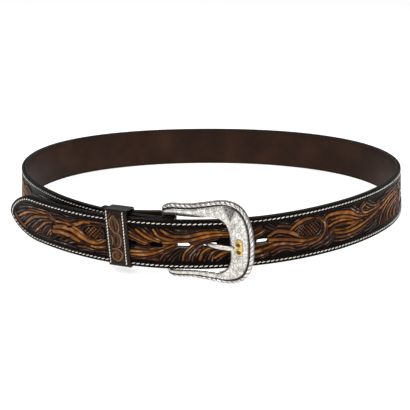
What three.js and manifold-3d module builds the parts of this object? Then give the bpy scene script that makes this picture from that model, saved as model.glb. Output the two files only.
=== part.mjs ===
// A western belt, fastened, standing on its lower edge: a tooled and lined leather strap, a leather
// keeper, a cast horseshoe buckle with its prong, and two studs that hold the strap's fold-back.
// Units are millimetres, +Z is up, and the buckle faces -Y.
import * as THREE from 'three';
import { mergeVertices } from 'three/addons/utils/BufferGeometryUtils.js';
import Module from 'manifold-3d';

const wasm = await Module();
wasm.setup();

// Strap
const STRAP_WIDTH = 38;
const STRAP_THICKNESS = 4;
const PLY_GAP = 0.3;
const EDGE_ROUND = 0.6;
const STRAP_LENGTH = 1168;
const STATION_STEP = 10;
// The round tip sags a little below the middle of the strap, and ends in a short blunt edge.
const TIP = { length: 35, fullness: 1.65, sag: 2.4, blunt: 0.8, sections: 9, crowding: 1.8 };

// Where the strap leaves the heel bar, and its heading there
const HEEL_START = { x: -28.7, y: -150, heading: 166.7 };

// The plan of the strap from the heel bar to the tip, clockwise seen from above.
// at: length from the heel bar, bend: curvature as 1000 / radius,
// lean: degrees by which the lower edge stands further out than the upper edge.
const BEND_TABLE = [
  { at: 0, bend: 7.7, lean: -6 },
  { at: 50, bend: 5.7, lean: -3 },
  { at: 110, bend: 4.2, lean: 0 },
  { at: 170, bend: 5.3, lean: 2 },
  { at: 240, bend: 8.4, lean: 5 },
  { at: 310, bend: 9.0, lean: 2 },
  { at: 380, bend: 5.4, lean: 0 },
  { at: 470, bend: 3.2, lean: 0 },
  { at: 560, bend: 5.5, lean: 0 },
  { at: 650, bend: 8.8, lean: 3 },
  { at: 730, bend: 7.9, lean: 5 },
  { at: 800, bend: 5.3, lean: 7 },
  { at: 870, bend: 4.0, lean: 3 },
  { at: 940, bend: 5.7, lean: -5 },
  { at: 1010, bend: 7.0, lean: -6 },
  { at: 1070, bend: 5.7, lean: -7 },
  { at: 1120, bend: 3.6, lean: -7 },
  { at: 1170, bend: 1.6, lean: -8 },
];
const TRACE_STEP = 1;
// Centre to centre, the free end lies this far outside the strap where it passes the heel bar.
const OVERLAP_PITCH = 5;
// The passing place is looked for within this last stretch of the strap.
const PASSING_STRETCH = 300;

// Fold-back round the heel bar
const LOOP_RADIUS = 5.5;
const LOOP_SECTIONS = 10;
const FOLD_BACK_LENGTH = 58;
// The corners of the fold-back's end are rounded off.
const FOLD_CORNER = { radius: 6, sections: 4 };
// gap: centre to centre from the strap to its fold-back, at a distance from the heel bar
const FOLD_TABLE = [
  { at: 0, gap: 11 },
  { at: 8, gap: 10.3 },
  { at: 18, gap: 7.9 },
  { at: 26, gap: 5.9 },
  { at: 34, gap: 4.8 },
  { at: 60, gap: 4.6 },
];
const PRONG_CUT = { length: 19, height: 5.6 };

// Slots for the prong, three quarters of an inch apart
const SLOT = { length: 10, height: 3.8, pitch: 19.05, count: 6, nearest: 941.3, sides: 6 };

// Keeper
const KEEPER = { station: 1046, length: 17.5, wall: 1.4, clearance: 0.3, corner: 2.4, cornerSides: 4 };
// How far beyond either end of the keeper the leather it holds is taken into account
const KEEPER_SPARE = 2.5;
// For each millimetre of depth behind the free end the keeper hangs lower and lies nearer to the tip.
const KEEPER_SLANT = { fall: 0.18, lag: 0.22 };
// How far from the heel bar the keeper lies along the strap under the free end
const KEEPER_DISTANCE = 33;

// Buckle, in its own frame: x from the heel bar to the end bar, y up across the strap, z out of the face
const END_BAR_INNER = 47.7;
const FRAME_BACK = -1.5;
const FRAME_CLEARANCE = 2.1;
// The strap's crossing of the window is looked for from this far before its tip backwards.
const FREE_END = 175;
const HEEL_BAR = { radius: 2, length: 48, sides: 14 };
const ROPE_WIDTH = 3.2;
// The buckle hangs a little askew on the strap, turned about the place where the strap crosses it.
const ASKEW = { degrees: 3, pivot: 33 };
// The frame isn't quite even. From its arms' ends to the end bar, its outer edge stands this far
// above its middle, and its window this far below it.
const OUTER_RISE = { heel: 0.5, end: 1.65 };
const WINDOW_FALL = { heel: 1.0, end: 0.8 };
// The upper half of the frame from the end of the arm to the middle of the end bar:
// the outer and the inner edge at each section. The lower half mirrors it.
const FRAME_TABLE = [
  { outX: -1.4, outY: 25.0, inX: 0.2, inY: 22.2 },
  { outX: -0.6, outY: 26.9, inX: 0.6, inY: 22.0 },
  { outX: 2.2, outY: 28.5, inX: 2, inY: 21.9 },
  { outX: 6.6, outY: 29.3, inX: 7.5, inY: 21.8 },
  { outX: 13, outY: 29.1, inX: 13, inY: 21.3 },
  { outX: 20.5, outY: 29.2, inX: 19.5, inY: 21.1 },
  { outX: 28, outY: 30.2, inX: 26.5, inY: 21.0 },
  { outX: 35, outY: 31.3, inX: 33, inY: 21.5 },
  { outX: 41, outY: 32.2, inX: 38.6, inY: 21.5 },
  { outX: 47, outY: 32.2, inX: 42.4, inY: 19.6 },
  { outX: 53, outY: 30.7, inX: 45.6, inY: 16 },
  { outX: 58, outY: 27.2, inX: 47, inY: 11.8 },
  { outX: 61.8, outY: 21, inX: 47.6, inY: 7.6 },
  { outX: 64.4, outY: 12, inX: 47.7, inY: 3.8 },
  { outX: 65.4, outY: 0, inX: 47.7, inY: 0 },
];
const FRAME_SECTIONS = 25;
// How much of its thickness the frame loses where it narrows to the ends of its arms
const THINNING = 0.6;

// Prong: its centre line in the buckle's frame, from the heel bar to its tip, bent a little by use
const PRONG_TABLE = [
  { x: 2.8, y: 0, z: -1.2, width: 4.4, depth: 3.0 },
  { x: 8, y: 0, z: -1.6, width: 4.2, depth: 2.8 },
  { x: 16, y: 0, z: -1.3, width: 3.8, depth: 2.6 },
  { x: 22, y: 0, z: -1.2, width: 3.1, depth: 2.4 },
  { x: 27, y: 0, z: -1.3, width: 2.8, depth: 2.4 },
  { x: 29.5, y: 0, z: 0, width: 2.8, depth: 2.5 },
  { x: 33, y: 0.05, z: 1.95, width: 2.9, depth: 2.6 },
  { x: 37, y: 0.1, z: 3.4, width: 3.2, depth: 2.6 },
  { x: 41.5, y: 0.1, z: 3.9, width: 3.6, depth: 2.6 },
  { x: 46, y: -0.05, z: 3.9, width: 3.5, depth: 2.5 },
  { x: 49.2, y: -0.25, z: 3.5, width: 2.9, depth: 2.2 },
  { x: 50.6, y: -0.35, z: 3.3, width: 1.9, depth: 1.4 },
];
const PRONG_SIDES = 10;
const PRONG_EYE = { outer: 4.7, inner: 2.75, width: 4.4, sides: 18 };

// Gilt ornament on the end bar
const ORNAMENT = { x: 54.9, y: -0.4, seat: 3.0, length: 12.2, width: 5.4, plate: 0.7 };
const BEAD = { radius: 2.5, height: 1.3, spread: 3.4 };

// Studs through the strap and its fold-back
const STUD = { station: 53, heights: [9.5, 28.5], shaft: 1.9, hole: 2.25, sides: 14, seat: 0.5 };
const STUD_HEAD = { radius: 4.2, flat: 2.9, height: 1.1 };

// Leather and metal finishes
const toolingBrown = new THREE.MeshStandardMaterial({ color: 0x7a431a, roughness: 0.5, metalness: 0 });
const liningBrown = new THREE.MeshStandardMaterial({ color: 0x35241a, roughness: 0.55, metalness: 0 });
const keeperBrown = new THREE.MeshStandardMaterial({ color: 0x5b3c26, roughness: 0.5, metalness: 0 });
const castSilver = new THREE.MeshStandardMaterial({ color: 0xc8c5bd, roughness: 0.3, metalness: 1 });
const gilt = new THREE.MeshStandardMaterial({ color: 0xc79a3d, roughness: 0.3, metalness: 1 });
const studSteel = new THREE.MeshStandardMaterial({ color: 0x6e6a63, roughness: 0.4, metalness: 1 });

// Straight-line reading of one column of a table by another
function readTable(table, key, column, value) {
  const last = table.length - 1;
  if (value <= table[0][key]) return table[0][column];
  if (value >= table[last][key]) return table[last][column];
  const row = table.findIndex((entry) => entry[key] > value);
  const share = (value - table[row - 1][key]) / (table[row][key] - table[row - 1][key]);
  return THREE.MathUtils.lerp(table[row - 1][column], table[row][column], share);
}

// A closed body through rings of equal count: capped at both ends, or joined end to end.
// falling turns the diagonals of its faces, so that two twisted plies keep the same facets.
function loft(rings, { joined = false, falling = false } = {}) {
  const count = rings[0].length;
  const positions = rings.flat().flatMap((point) => point.toArray());
  const index = [];
  const spans = joined ? rings.length : rings.length - 1;
  for (let i = 0; i < spans; i += 1) {
    const next = (i + 1) % rings.length;
    for (let j = 0; j < count; j += 1) {
      const k = (j + 1) % count;
      const [a, b] = [i * count + j, i * count + k];
      const [c, d] = [next * count + j, next * count + k];
      if (falling) index.push(a, b, c, b, d, c);
      else index.push(a, d, c, a, b, d);
    }
  }
  if (!joined) {
    for (const end of [0, rings.length - 1]) {
      const hub = positions.length / 3;
      const centre = new THREE.Vector3();
      rings[end].forEach((point) => centre.addScaledVector(point, 1 / count));
      positions.push(...centre.toArray());
      for (let j = 0; j < count; j += 1) {
        const a = end * count + j;
        const b = end * count + (j + 1) % count;
        if (end === 0) index.push(hub, b, a);
        else index.push(hub, a, b);
      }
    }
  }
  const geometry = new THREE.BufferGeometry();
  geometry.setAttribute('position', new THREE.Float32BufferAttribute(positions, 3));
  geometry.setIndex(index);
  return geometry;
}

function toSolid(geometry) {
  const bare = geometry.clone();
  bare.deleteAttribute('normal');
  bare.deleteAttribute('uv');
  const merged = mergeVertices(bare, 1e-4);
  const solid = new wasm.Manifold(new wasm.Mesh({
    numProp: 3,
    vertProperties: new Float32Array(merged.attributes.position.array),
    triVerts: new Uint32Array(merged.index.array),
  }));
  return solid;
}

function toGeometry(solid) {
  const mesh = solid.getMesh();
  const geometry = new THREE.BufferGeometry();
  geometry.setAttribute('position', new THREE.Float32BufferAttribute(mesh.vertProperties, 3));
  geometry.setIndex(new THREE.Uint32BufferAttribute(mesh.triVerts, 1));
  return geometry;
}

function named(name, geometry, material) {
  const shaded = geometry.clone();
  shaded.computeVertexNormals();
  const mesh = new THREE.Mesh(shaded, material);
  mesh.name = name;
  return mesh;
}

// The strap's centre line, a station every millimetre, from the heel bar to the tip
function tracePath() {
  const stations = [];
  let { x, y } = HEEL_START;
  let heading = THREE.MathUtils.degToRad(HEEL_START.heading);
  for (let s = 0; s <= STRAP_LENGTH + TRACE_STEP; s += TRACE_STEP) {
    stations.push({ s, x, y, heading });
    const turn = readTable(BEND_TABLE, 'at', 'bend', s + TRACE_STEP / 2) / 1000 * TRACE_STEP;
    x += Math.cos(heading - turn / 2) * TRACE_STEP;
    y += Math.sin(heading - turn / 2) * TRACE_STEP;
    heading -= turn;
  }
  return stations;
}

// Closes the ring as a surveyor closes a traverse: what the free end misses its place by, where it
// passes the heel bar, is spread along the strap in step with the length.
function closeRing(stations) {
  const start = stations[0];
  const along = new THREE.Vector2(Math.cos(start.heading), Math.sin(start.heading));
  const outward = new THREE.Vector2(-Math.sin(start.heading), Math.cos(start.heading));
  const offset = (station) => new THREE.Vector2(station.x - start.x, station.y - start.y);
  const passing = stations.slice(-PASSING_STRETCH).reduce((best, station) => (
    Math.abs(offset(station).dot(along)) < Math.abs(offset(best).dot(along)) ? station : best
  ));
  const miss = outward.clone().multiplyScalar(OVERLAP_PITCH).sub(offset(passing));
  return stations.map((station) => {
    const share = Math.min(station.s / passing.s, 1);
    return { ...station, x: station.x + miss.x * share, y: station.y + miss.y * share };
  });
}

const path = closeRing(tracePath());

// The strap's own frame at a length s from the heel bar: where its middle is, and the directions
// along it, out of its tooled face and up across it
function ringFrame(s) {
  const near = Math.min(Math.floor(s / TRACE_STEP), path.length - 2);
  const share = s / TRACE_STEP - near;
  const heading = THREE.MathUtils.lerp(path[near].heading, path[near + 1].heading, share);
  const lean = THREE.MathUtils.degToRad(readTable(BEND_TABLE, 'at', 'lean', s));
  const outward = new THREE.Vector3(-Math.sin(heading), Math.cos(heading), 0);
  const upright = new THREE.Vector3(0, 0, 1);
  return {
    centre: new THREE.Vector3(
      THREE.MathUtils.lerp(path[near].x, path[near + 1].x, share),
      THREE.MathUtils.lerp(path[near].y, path[near + 1].y, share),
      STRAP_WIDTH / 2 * Math.cos(lean),
    ),
    along: new THREE.Vector3(Math.cos(heading), Math.sin(heading), 0),
    out: outward.clone().multiplyScalar(Math.cos(lean)).addScaledVector(upright, Math.sin(lean)),
    up: upright.clone().multiplyScalar(Math.cos(lean)).addScaledVector(outward, -Math.sin(lean)),
  };
}

const heel = ringFrame(0);
const heelBar = heel.centre.clone().addScaledVector(heel.out, -LOOP_RADIUS);
const loopLength = Math.PI * LOOP_RADIUS;

// The middle of the fold-back at a distance from the heel bar
function foldCentre(distance) {
  const beside = ringFrame(distance);
  return beside.centre.addScaledVector(beside.out, -readTable(FOLD_TABLE, 'at', 'gap', distance));
}

// The strap's frame over its whole length: s is below zero round the heel bar and on the fold-back
function strapFrame(s) {
  if (s >= 0) return ringFrame(s);
  if (s > -loopLength) {
    const [cosine, sine] = [Math.cos(s / LOOP_RADIUS), Math.sin(s / LOOP_RADIUS)];
    const out = heel.out.clone().multiplyScalar(cosine).addScaledVector(heel.along, sine);
    const along = heel.out.clone().multiplyScalar(-sine).addScaledVector(heel.along, cosine);
    return { centre: heelBar.clone().addScaledVector(out, LOOP_RADIUS), along, out, up: heel.up };
  }
  const distance = -s - loopLength;
  const along = foldCentre(Math.max(distance - 1, 0)).sub(foldCentre(distance + 1)).normalize();
  const up = ringFrame(distance).up;
  const out = up.clone().cross(along).normalize();
  return { centre: foldCentre(distance), along, out, up };
}

function strapPoint(frame, across, out) {
  return frame.centre.clone().addScaledVector(frame.up, across).addScaledVector(frame.out, out);
}

// The lower and the upper edge of the strap, as heights from its middle, full as far as the tip
function edges(s) {
  const share = Math.min((STRAP_LENGTH - s) / TIP.length, 1);
  const half = STRAP_WIDTH / 2 * (1 - (1 - share) ** TIP.fullness) ** (1 / TIP.fullness);
  const sag = TIP.sag / 2 * (1 + Math.cos(Math.PI * share));
  const { radius } = FOLD_CORNER;
  const short = Math.max(radius - loopLength - FOLD_BACK_LENGTH - s, 0);
  const corner = radius - Math.sqrt(radius ** 2 - short ** 2);
  return { lower: corner - half - sag, upper: half - sag - corner };
}

// Lengths at which the strap has a section: even round the waist, closer round the bar and the tip
function strapStations() {
  const stations = [];
  const foldStart = -loopLength - FOLD_BACK_LENGTH;
  for (let i = 0; i < FOLD_CORNER.sections; i += 1) {
    stations.push(foldStart + FOLD_CORNER.radius * (1 - Math.cos(Math.PI / 2 * (i / FOLD_CORNER.sections))));
  }
  const straight = FOLD_BACK_LENGTH - FOLD_CORNER.radius;
  const foldSteps = Math.round(straight / STATION_STEP);
  for (let i = 0; i < foldSteps; i += 1) {
    stations.push(foldStart + FOLD_CORNER.radius + straight * i / foldSteps);
  }
  for (let i = 0; i < LOOP_SECTIONS; i += 1) stations.push(-loopLength * (1 - i / LOOP_SECTIONS));
  const ringEnd = STRAP_LENGTH - TIP.length;
  const ringSteps = Math.round(ringEnd / STATION_STEP);
  for (let i = 0; i < ringSteps; i += 1) stations.push(ringEnd * i / ringSteps);
  for (let i = 0; i <= TIP.sections; i += 1) {
    const share = 1 - (1 - i / TIP.sections) ** TIP.crowding;
    stations.push(ringEnd + (TIP.length - TIP.blunt) * share);
  }
  return stations;
}

// The tooled ply: its face meets its edges in a small round
function outerSection({ lower, upper }) {
  const [inner, outer] = [PLY_GAP / 2, STRAP_THICKNESS / 2];
  return [
    [lower, inner], [lower, outer - EDGE_ROUND], [lower + EDGE_ROUND, outer],
    [upper - EDGE_ROUND, outer], [upper, outer - EDGE_ROUND], [upper, inner],
  ];
}

function liningSection({ lower, upper }) {
  const [inner, outer] = [-STRAP_THICKNESS / 2, -PLY_GAP / 2];
  return [[lower, inner], [lower, outer], [upper, outer], [upper, inner]];
}

function ply(section, options) {
  const rings = strapStations().map((s) => {
    const frame = strapFrame(s);
    return section(edges(s)).map(([across, out]) => strapPoint(frame, across, out));
  });
  return toSolid(loft(rings, options));
}

// A tool set square to the strap at a length s and a height across it
function setSquare(geometry, s, across) {
  const frame = strapFrame(s);
  const place = new THREE.Matrix4().makeBasis(frame.along.negate(), frame.up, frame.out);
  return geometry.applyMatrix4(place.setPosition(strapPoint(frame, across, 0)));
}

function slotGeometry() {
  const radius = SLOT.height / 2;
  const reach = SLOT.length / 2 - radius;
  const outline = new THREE.Shape();
  outline.absarc(reach, 0, radius, -Math.PI / 2, Math.PI / 2, false);
  outline.absarc(-reach, 0, radius, Math.PI / 2, 3 * Math.PI / 2, false);
  const options = { depth: 3 * STRAP_THICKNESS, bevelEnabled: false, curveSegments: SLOT.sides };
  return new THREE.ExtrudeGeometry(outline, options).translate(0, 0, -options.depth / 2);
}

function studHole() {
  const through = 5 * STRAP_THICKNESS;
  return new THREE.CylinderGeometry(STUD.hole, STUD.hole, through, STUD.sides).rotateX(Math.PI / 2);
}

// All openings of the strap, cut through both plies
function cutOpenings(solid) {
  let cut = solid;
  for (let i = 0; i < SLOT.count; i += 1) {
    cut = cut.subtract(toSolid(setSquare(slotGeometry(), SLOT.nearest + i * SLOT.pitch, 0)));
  }
  for (const height of STUD.heights) {
    cut = cut.subtract(toSolid(setSquare(studHole(), STUD.station, height - STRAP_WIDTH / 2)));
  }
  const notch = new THREE.BoxGeometry(PRONG_CUT.length, PRONG_CUT.height, 6 * LOOP_RADIUS);
  const place = new THREE.Matrix4().makeBasis(heel.along.clone().negate(), heel.up, heel.out);
  return cut.subtract(toSolid(notch.applyMatrix4(place.setPosition(heelBar))));
}

function strapOuter() {
  return named('strap_outer', toGeometry(cutOpenings(ply(outerSection))), toolingBrown);
}

function strapLining() {
  return named('strap_lining', toGeometry(cutOpenings(ply(liningSection, { falling: true }))), liningBrown);
}

// The room inside the keeper, which the free end, the strap and its fold-back take up. It is kept in
// the frame of the free end: x is the depth out of its face, and y the level across it, sheared so
// that one level falls by the keeper's slope towards the back.
function keeperRoom(frame, shear) {
  const room = new THREE.Box2();
  const half = KEEPER.length / 2 + KEEPER_SPARE;
  const layers = [
    (reach) => ringFrame(KEEPER.station + reach),
    (reach) => strapFrame(KEEPER_DISTANCE + reach),
    (reach) => strapFrame(-loopLength - KEEPER_DISTANCE - reach),
  ];
  for (const layer of layers) {
    const lag = -KEEPER_SLANT.lag * layer(0).centre.sub(frame.centre).dot(frame.out);
    for (const share of [-1, -0.5, 0, 0.5, 1]) {
      for (const [across, out] of [[1, 1], [1, -1], [-1, 1], [-1, -1]]) {
        const beside = layer(lag + share * half);
        const point = strapPoint(beside, across * STRAP_WIDTH / 2, out * STRAP_THICKNESS / 2);
        const offset = point.sub(frame.centre);
        const depth = offset.dot(frame.out);
        room.expandByPoint(new THREE.Vector2(depth, offset.dot(frame.up) + depth * shear));
      }
    }
  }
  return room.expandByScalar(KEEPER.clearance);
}

// The keeper is a flat leather band closed round the three layers, with rounded corners
function keeperLoop() {
  const frame = ringFrame(KEEPER.station);
  const shear = frame.out.z / frame.up.z - KEEPER_SLANT.fall;
  const room = keeperRoom(frame, shear);
  const innerRound = KEEPER.corner - KEEPER.wall;
  const corners = [
    [room.max.x, room.max.y, 0], [room.max.x, room.min.y, -90],
    [room.min.x, room.min.y, 180], [room.min.x, room.max.y, 90],
  ];
  const outline = (radius) => corners.flatMap(([depth, level, first]) => {
    const middle = [depth - Math.sign(depth) * innerRound, level - Math.sign(level) * innerRound];
    return Array.from({ length: KEEPER.cornerSides + 1 }, (_, i) => {
      const angle = THREE.MathUtils.degToRad(first + 90 * (1 - i / KEEPER.cornerSides));
      return [middle[0] + radius * Math.cos(angle), middle[1] + radius * Math.sin(angle)];
    });
  });
  const place = (along, [depth, level]) => {
    const lag = KEEPER_SLANT.lag * (room.max.x - depth);
    return strapPoint(frame, level - depth * shear, depth).addScaledVector(frame.along, along + lag);
  };
  const outside = outline(KEEPER.corner);
  const inside = outline(innerRound);
  const half = KEEPER.length / 2;
  const rings = outside.map((edge, i) => [
    place(-half, edge), place(half, edge), place(half, inside[i]), place(-half, inside[i]),
  ]);
  return named('keeper_loop', loft(rings, { joined: true }), keeperBrown);
}

// The buckle's frame of reference. Its x axis runs from the heel bar to the end bar, turned so that
// the inner edge of the end bar just clears the tooled face of the strap that runs behind it.
function buckleBasis() {
  const edge = new THREE.Vector2(END_BAR_INNER, FRAME_BACK);
  const seatAt = (s) => strapPoint(ringFrame(s), 0, STRAP_THICKNESS / 2 + FRAME_CLEARANCE).sub(heelBar);
  let s = STRAP_LENGTH - FREE_END;
  while (seatAt(s).length() < edge.length()) s -= TRACE_STEP / 4;
  const seat = seatAt(s);
  seat.addScaledVector(heel.up, -seat.dot(heel.up));
  const x = seat.applyAxisAngle(heel.up, edge.angle() - 2 * Math.PI).normalize();
  const z = x.clone().cross(heel.up).normalize();
  return new THREE.Matrix4().makeBasis(x, heel.up, z).setPosition(heelBar);
}

// Edge to edge, the frame's section: back, domed face, groove, rope rim.
// share runs from the inner edge to the groove, fromRim is a distance from the outer edge.
const FRAME_SECTION = [
  { share: 0.08, z: FRAME_BACK },
  { fromRim: 0.9, z: FRAME_BACK },
  { fromRim: 0, z: -0.9 },
  { fromRim: 0, z: 0.9 },
  { fromRim: 0.7, z: 2.1 },
  { fromRim: 1.7, z: 2.5 },
  { fromRim: 2.7, z: 2.1 },
  { fromRim: ROPE_WIDTH, z: 1.4 },
  { share: 0.86, z: 2.0 },
  { share: 0.6, z: 2.6 },
  { share: 0.36, z: 2.6 },
  { share: 0.14, z: 1.9 },
  { share: 0, z: 0.8 },
  { share: 0, z: -1.1 },
];

// The sections of the frame from the end of the upper arm round to the end of the lower arm
function frameRings() {
  const curve = (x, y) => (
    new THREE.CatmullRomCurve3(FRAME_TABLE.map((row) => new THREE.Vector3(row[x], row[y], 0)))
  );
  const outer = curve('outX', 'outY');
  const inner = curve('inX', 'inY');
  return Array.from({ length: 2 * FRAME_SECTIONS + 1 }, (_, i) => {
    const mirror = new THREE.Vector3(1, i > FRAME_SECTIONS ? -1 : 1, 1);
    const share = Math.min(i, 2 * FRAME_SECTIONS - i) / FRAME_SECTIONS;
    const outside = outer.getPoint(share).multiply(mirror);
    const inside = inner.getPoint(share).multiply(mirror);
    const towardsEnd = ({ x }) => THREE.MathUtils.clamp(x / END_BAR_INNER, 0, 1);
    outside.y += THREE.MathUtils.lerp(OUTER_RISE.heel, OUTER_RISE.end, towardsEnd(outside));
    inside.y -= THREE.MathUtils.lerp(WINDOW_FALL.heel, WINDOW_FALL.end, towardsEnd(inside));
    const width = outside.distanceTo(inside);
    const shrink = Math.min(width / (2.5 * ROPE_WIDTH), 1);
    const groove = 1 - ROPE_WIDTH * shrink / width;
    return FRAME_SECTION.map((row) => {
      const reach = row.fromRim === undefined ? row.share * groove : 1 - row.fromRim * shrink / width;
      return inside.clone().lerp(outside, reach).setZ(row.z * THREE.MathUtils.lerp(1, shrink, THINNING));
    });
  });
}

function buckleFrame() {
  const bar = new THREE.CylinderGeometry(HEEL_BAR.radius, HEEL_BAR.radius, HEEL_BAR.length, HEEL_BAR.sides);
  const solid = toSolid(loft(frameRings())).add(toSolid(bar));
  return named('buckle_frame', toGeometry(solid), castSilver);
}

// The prong: an eye round the heel bar and a bowed shank that comes out through a slot
function prong() {
  const rings = PRONG_TABLE.map((row, i) => {
    const before = PRONG_TABLE[Math.max(i - 1, 0)];
    const after = PRONG_TABLE[Math.min(i + 1, PRONG_TABLE.length - 1)];
    const slope = Math.atan2(after.z - before.z, after.x - before.x);
    return Array.from({ length: PRONG_SIDES }, (_, j) => {
      const angle = 2 * Math.PI * (j + 0.5) / PRONG_SIDES;
      const aside = Math.cos(angle) * row.width / 2;
      const deep = Math.sin(angle) * row.depth / 2;
      const [forward, out] = [-deep * Math.sin(slope), deep * Math.cos(slope)];
      return new THREE.Vector3(row.x + forward, row.y + aside, row.z + out);
    });
  });
  const round = (radius, width) => new THREE.CylinderGeometry(radius, radius, width, PRONG_EYE.sides);
  const eye = toSolid(round(PRONG_EYE.outer, PRONG_EYE.width));
  const bore = toSolid(round(PRONG_EYE.inner, 2 * PRONG_EYE.width));
  const shank = toSolid(loft(rings));
  return named('prong', toGeometry(shank.add(eye).subtract(bore)), castSilver);
}

// Two beads in a row on a narrow plate with rounded ends
function giltOrnament() {
  const plateRound = ORNAMENT.width / 2;
  const reach = ORNAMENT.length / 2 - plateRound;
  const outline = new THREE.Shape();
  outline.absarc(0, reach, plateRound, 0, Math.PI, false);
  outline.absarc(0, -reach, plateRound, Math.PI, 2 * Math.PI, false);
  const options = { depth: ORNAMENT.plate, bevelEnabled: false, curveSegments: 8 };
  let solid = toSolid(new THREE.ExtrudeGeometry(outline, options));
  for (const side of [-1, 1]) {
    const bead = new THREE.SphereGeometry(1, 12, 8).scale(BEAD.radius, BEAD.radius, BEAD.height);
    solid = solid.add(toSolid(bead.translate(0, side * BEAD.spread, ORNAMENT.plate)));
  }
  const under = new THREE.BoxGeometry(ORNAMENT.length, 2 * ORNAMENT.length, ORNAMENT.length);
  const trimmed = solid.subtract(toSolid(under.translate(0, 0, -ORNAMENT.length / 2)));
  return named('gilt_ornament', toGeometry(trimmed).translate(ORNAMENT.x, ORNAMENT.y, ORNAMENT.seat), gilt);
}

// A stud clamps the strap to its fold-back: a shaft with a low round head on each side
function foldStud(name, height) {
  const gap = readTable(FOLD_TABLE, 'at', 'gap', STUD.station);
  const front = STRAP_THICKNESS / 2 + STUD.seat;
  const back = -gap - STRAP_THICKNESS / 2 - STUD.seat;
  const { radius, flat, height: dome } = STUD_HEAD;
  const profile = [
    [0, back - dome], [flat, back - dome], [radius, back - dome / 2], [radius, back],
    [STUD.shaft, back], [STUD.shaft, front],
    [radius, front], [radius, front + dome / 2], [flat, front + dome], [0, front + dome],
  ];
  const outline = profile.map(([across, depth]) => new THREE.Vector2(across, depth));
  const turned = new THREE.LatheGeometry(outline, STUD.sides).rotateX(Math.PI / 2);
  const placed = setSquare(turned, STUD.station, height - STRAP_WIDTH / 2);
  return named(name, toGeometry(toSolid(placed)), studSteel);
}

// The buckle stands lower than the strap's edge, so at rest the belt lies back on its rear edge
// and on the buckle. The angle is the steepest that any point of the buckle asks for.
function restAngle(buckle, rearY) {
  const point = new THREE.Vector3();
  let angle = 0;
  buckle.updateWorldMatrix(true, true);
  buckle.traverse((piece) => {
    if (!piece.isMesh) return;
    const { position } = piece.geometry.attributes;
    for (let i = 0; i < position.count; i += 1) {
      point.fromBufferAttribute(position, i).applyMatrix4(piece.matrixWorld);
      angle = Math.max(angle, Math.atan2(-point.z, rearY - point.y));
    }
  });
  return angle;
}

const casting = new THREE.Group();
casting.add(buckleFrame(), giltOrnament());
casting.rotation.z = THREE.MathUtils.degToRad(ASKEW.degrees);
const pivot = new THREE.Vector3(ASKEW.pivot, 0, 0);
casting.position.copy(pivot).sub(pivot.clone().applyEuler(casting.rotation));

const buckle = new THREE.Group();
buckle.add(casting, prong());
buckleBasis().decompose(buckle.position, buckle.quaternion, buckle.scale);

const worn = new THREE.Group();
worn.add(strapOuter(), strapLining(), keeperLoop(), buckle);
worn.add(foldStud('fold_stud_lower', STUD.heights[0]), foldStud('fold_stud_upper', STUD.heights[1]));

const rearY = Math.max(...path.map((station) => station.y)) + STRAP_THICKNESS / 2;
worn.rotation.x = -restAngle(buckle, rearY);

const belt = new THREE.Group();
belt.add(worn);
belt.updateWorldMatrix(true, true);
const extent = new THREE.Box3().setFromObject(belt, true);
const middle = extent.getCenter(new THREE.Vector3());
worn.position.set(-middle.x, -middle.y, -extent.min.z);

export default belt;
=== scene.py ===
import math
import bmesh
import bpy
import numpy as np
from mathutils import Matrix, Vector

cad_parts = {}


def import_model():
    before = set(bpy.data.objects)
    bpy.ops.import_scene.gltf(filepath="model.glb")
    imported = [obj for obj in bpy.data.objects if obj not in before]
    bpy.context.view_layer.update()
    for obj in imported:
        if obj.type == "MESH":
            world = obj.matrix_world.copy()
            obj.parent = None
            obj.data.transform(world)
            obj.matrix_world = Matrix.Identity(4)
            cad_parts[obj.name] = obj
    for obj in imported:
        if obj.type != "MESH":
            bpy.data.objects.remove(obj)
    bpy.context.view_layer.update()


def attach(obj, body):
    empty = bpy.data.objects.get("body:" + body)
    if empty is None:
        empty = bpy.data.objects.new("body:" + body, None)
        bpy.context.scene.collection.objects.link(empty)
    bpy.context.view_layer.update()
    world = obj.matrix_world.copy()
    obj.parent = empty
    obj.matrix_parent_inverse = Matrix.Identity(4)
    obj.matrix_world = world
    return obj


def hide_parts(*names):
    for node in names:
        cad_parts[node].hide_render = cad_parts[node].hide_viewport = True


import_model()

# The strap: two plies of cowhide, 38 mm wide and 1168 mm long, bent into a ring that stands on its
# lower edge. The tooled ply is carved and stamped damp, dyed by hand and burnished black along its
# edges. It is folded back round the heel bar of the buckle, and its free end ends in a round tip.
MM = 0.001
STRAP_WIDTH = 38.0
STRAP_LENGTH = 1168.0
STRAP_THICKNESS = 4.0
PLY_GAP = 0.3
HEEL_START = (-28.7, -150.0)
HEEL_HEADING = 166.7
# Each row: length from the heel bar, bend as 1000 / radius, degrees that the lower edge stands out
BENDS = np.array([
    (0, 7.7, -6), (50, 5.7, -3), (110, 4.2, 0), (170, 5.3, 2), (240, 8.4, 5), (310, 9.0, 2),
    (380, 5.4, 0), (470, 3.2, 0), (560, 5.5, 0), (650, 8.8, 3), (730, 7.9, 5), (800, 5.3, 7),
    (870, 4.0, 3), (940, 5.7, -5), (1010, 7.0, -6), (1070, 5.7, -7), (1120, 3.6, -7),
    (1170, 1.6, -8),
])
OVERLAP_PITCH = 5.0
PASSING_STRETCH = 300
LOOP_RADIUS = 5.5
LOOP_LENGTH = math.pi * LOOP_RADIUS
FOLD_BACK_LENGTH = 58.0
FOLD_END = -LOOP_LENGTH - FOLD_BACK_LENGTH
FOLD_CORNER = 6.0
# Each row: distance from the heel bar, centre to centre from the strap to its fold-back
FOLD_GAPS = np.array([(0, 11), (8, 10.3), (18, 7.9), (26, 5.9), (34, 4.8), (60, 4.6)])
# The belt lies back on its rear edge and on the buckle
REST = Matrix.Translation((-5.48983 * MM, 6.90363 * MM, 5.44556 * MM)) @ Matrix.Rotation(
    math.radians(-2.06273), 4, "X")


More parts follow.
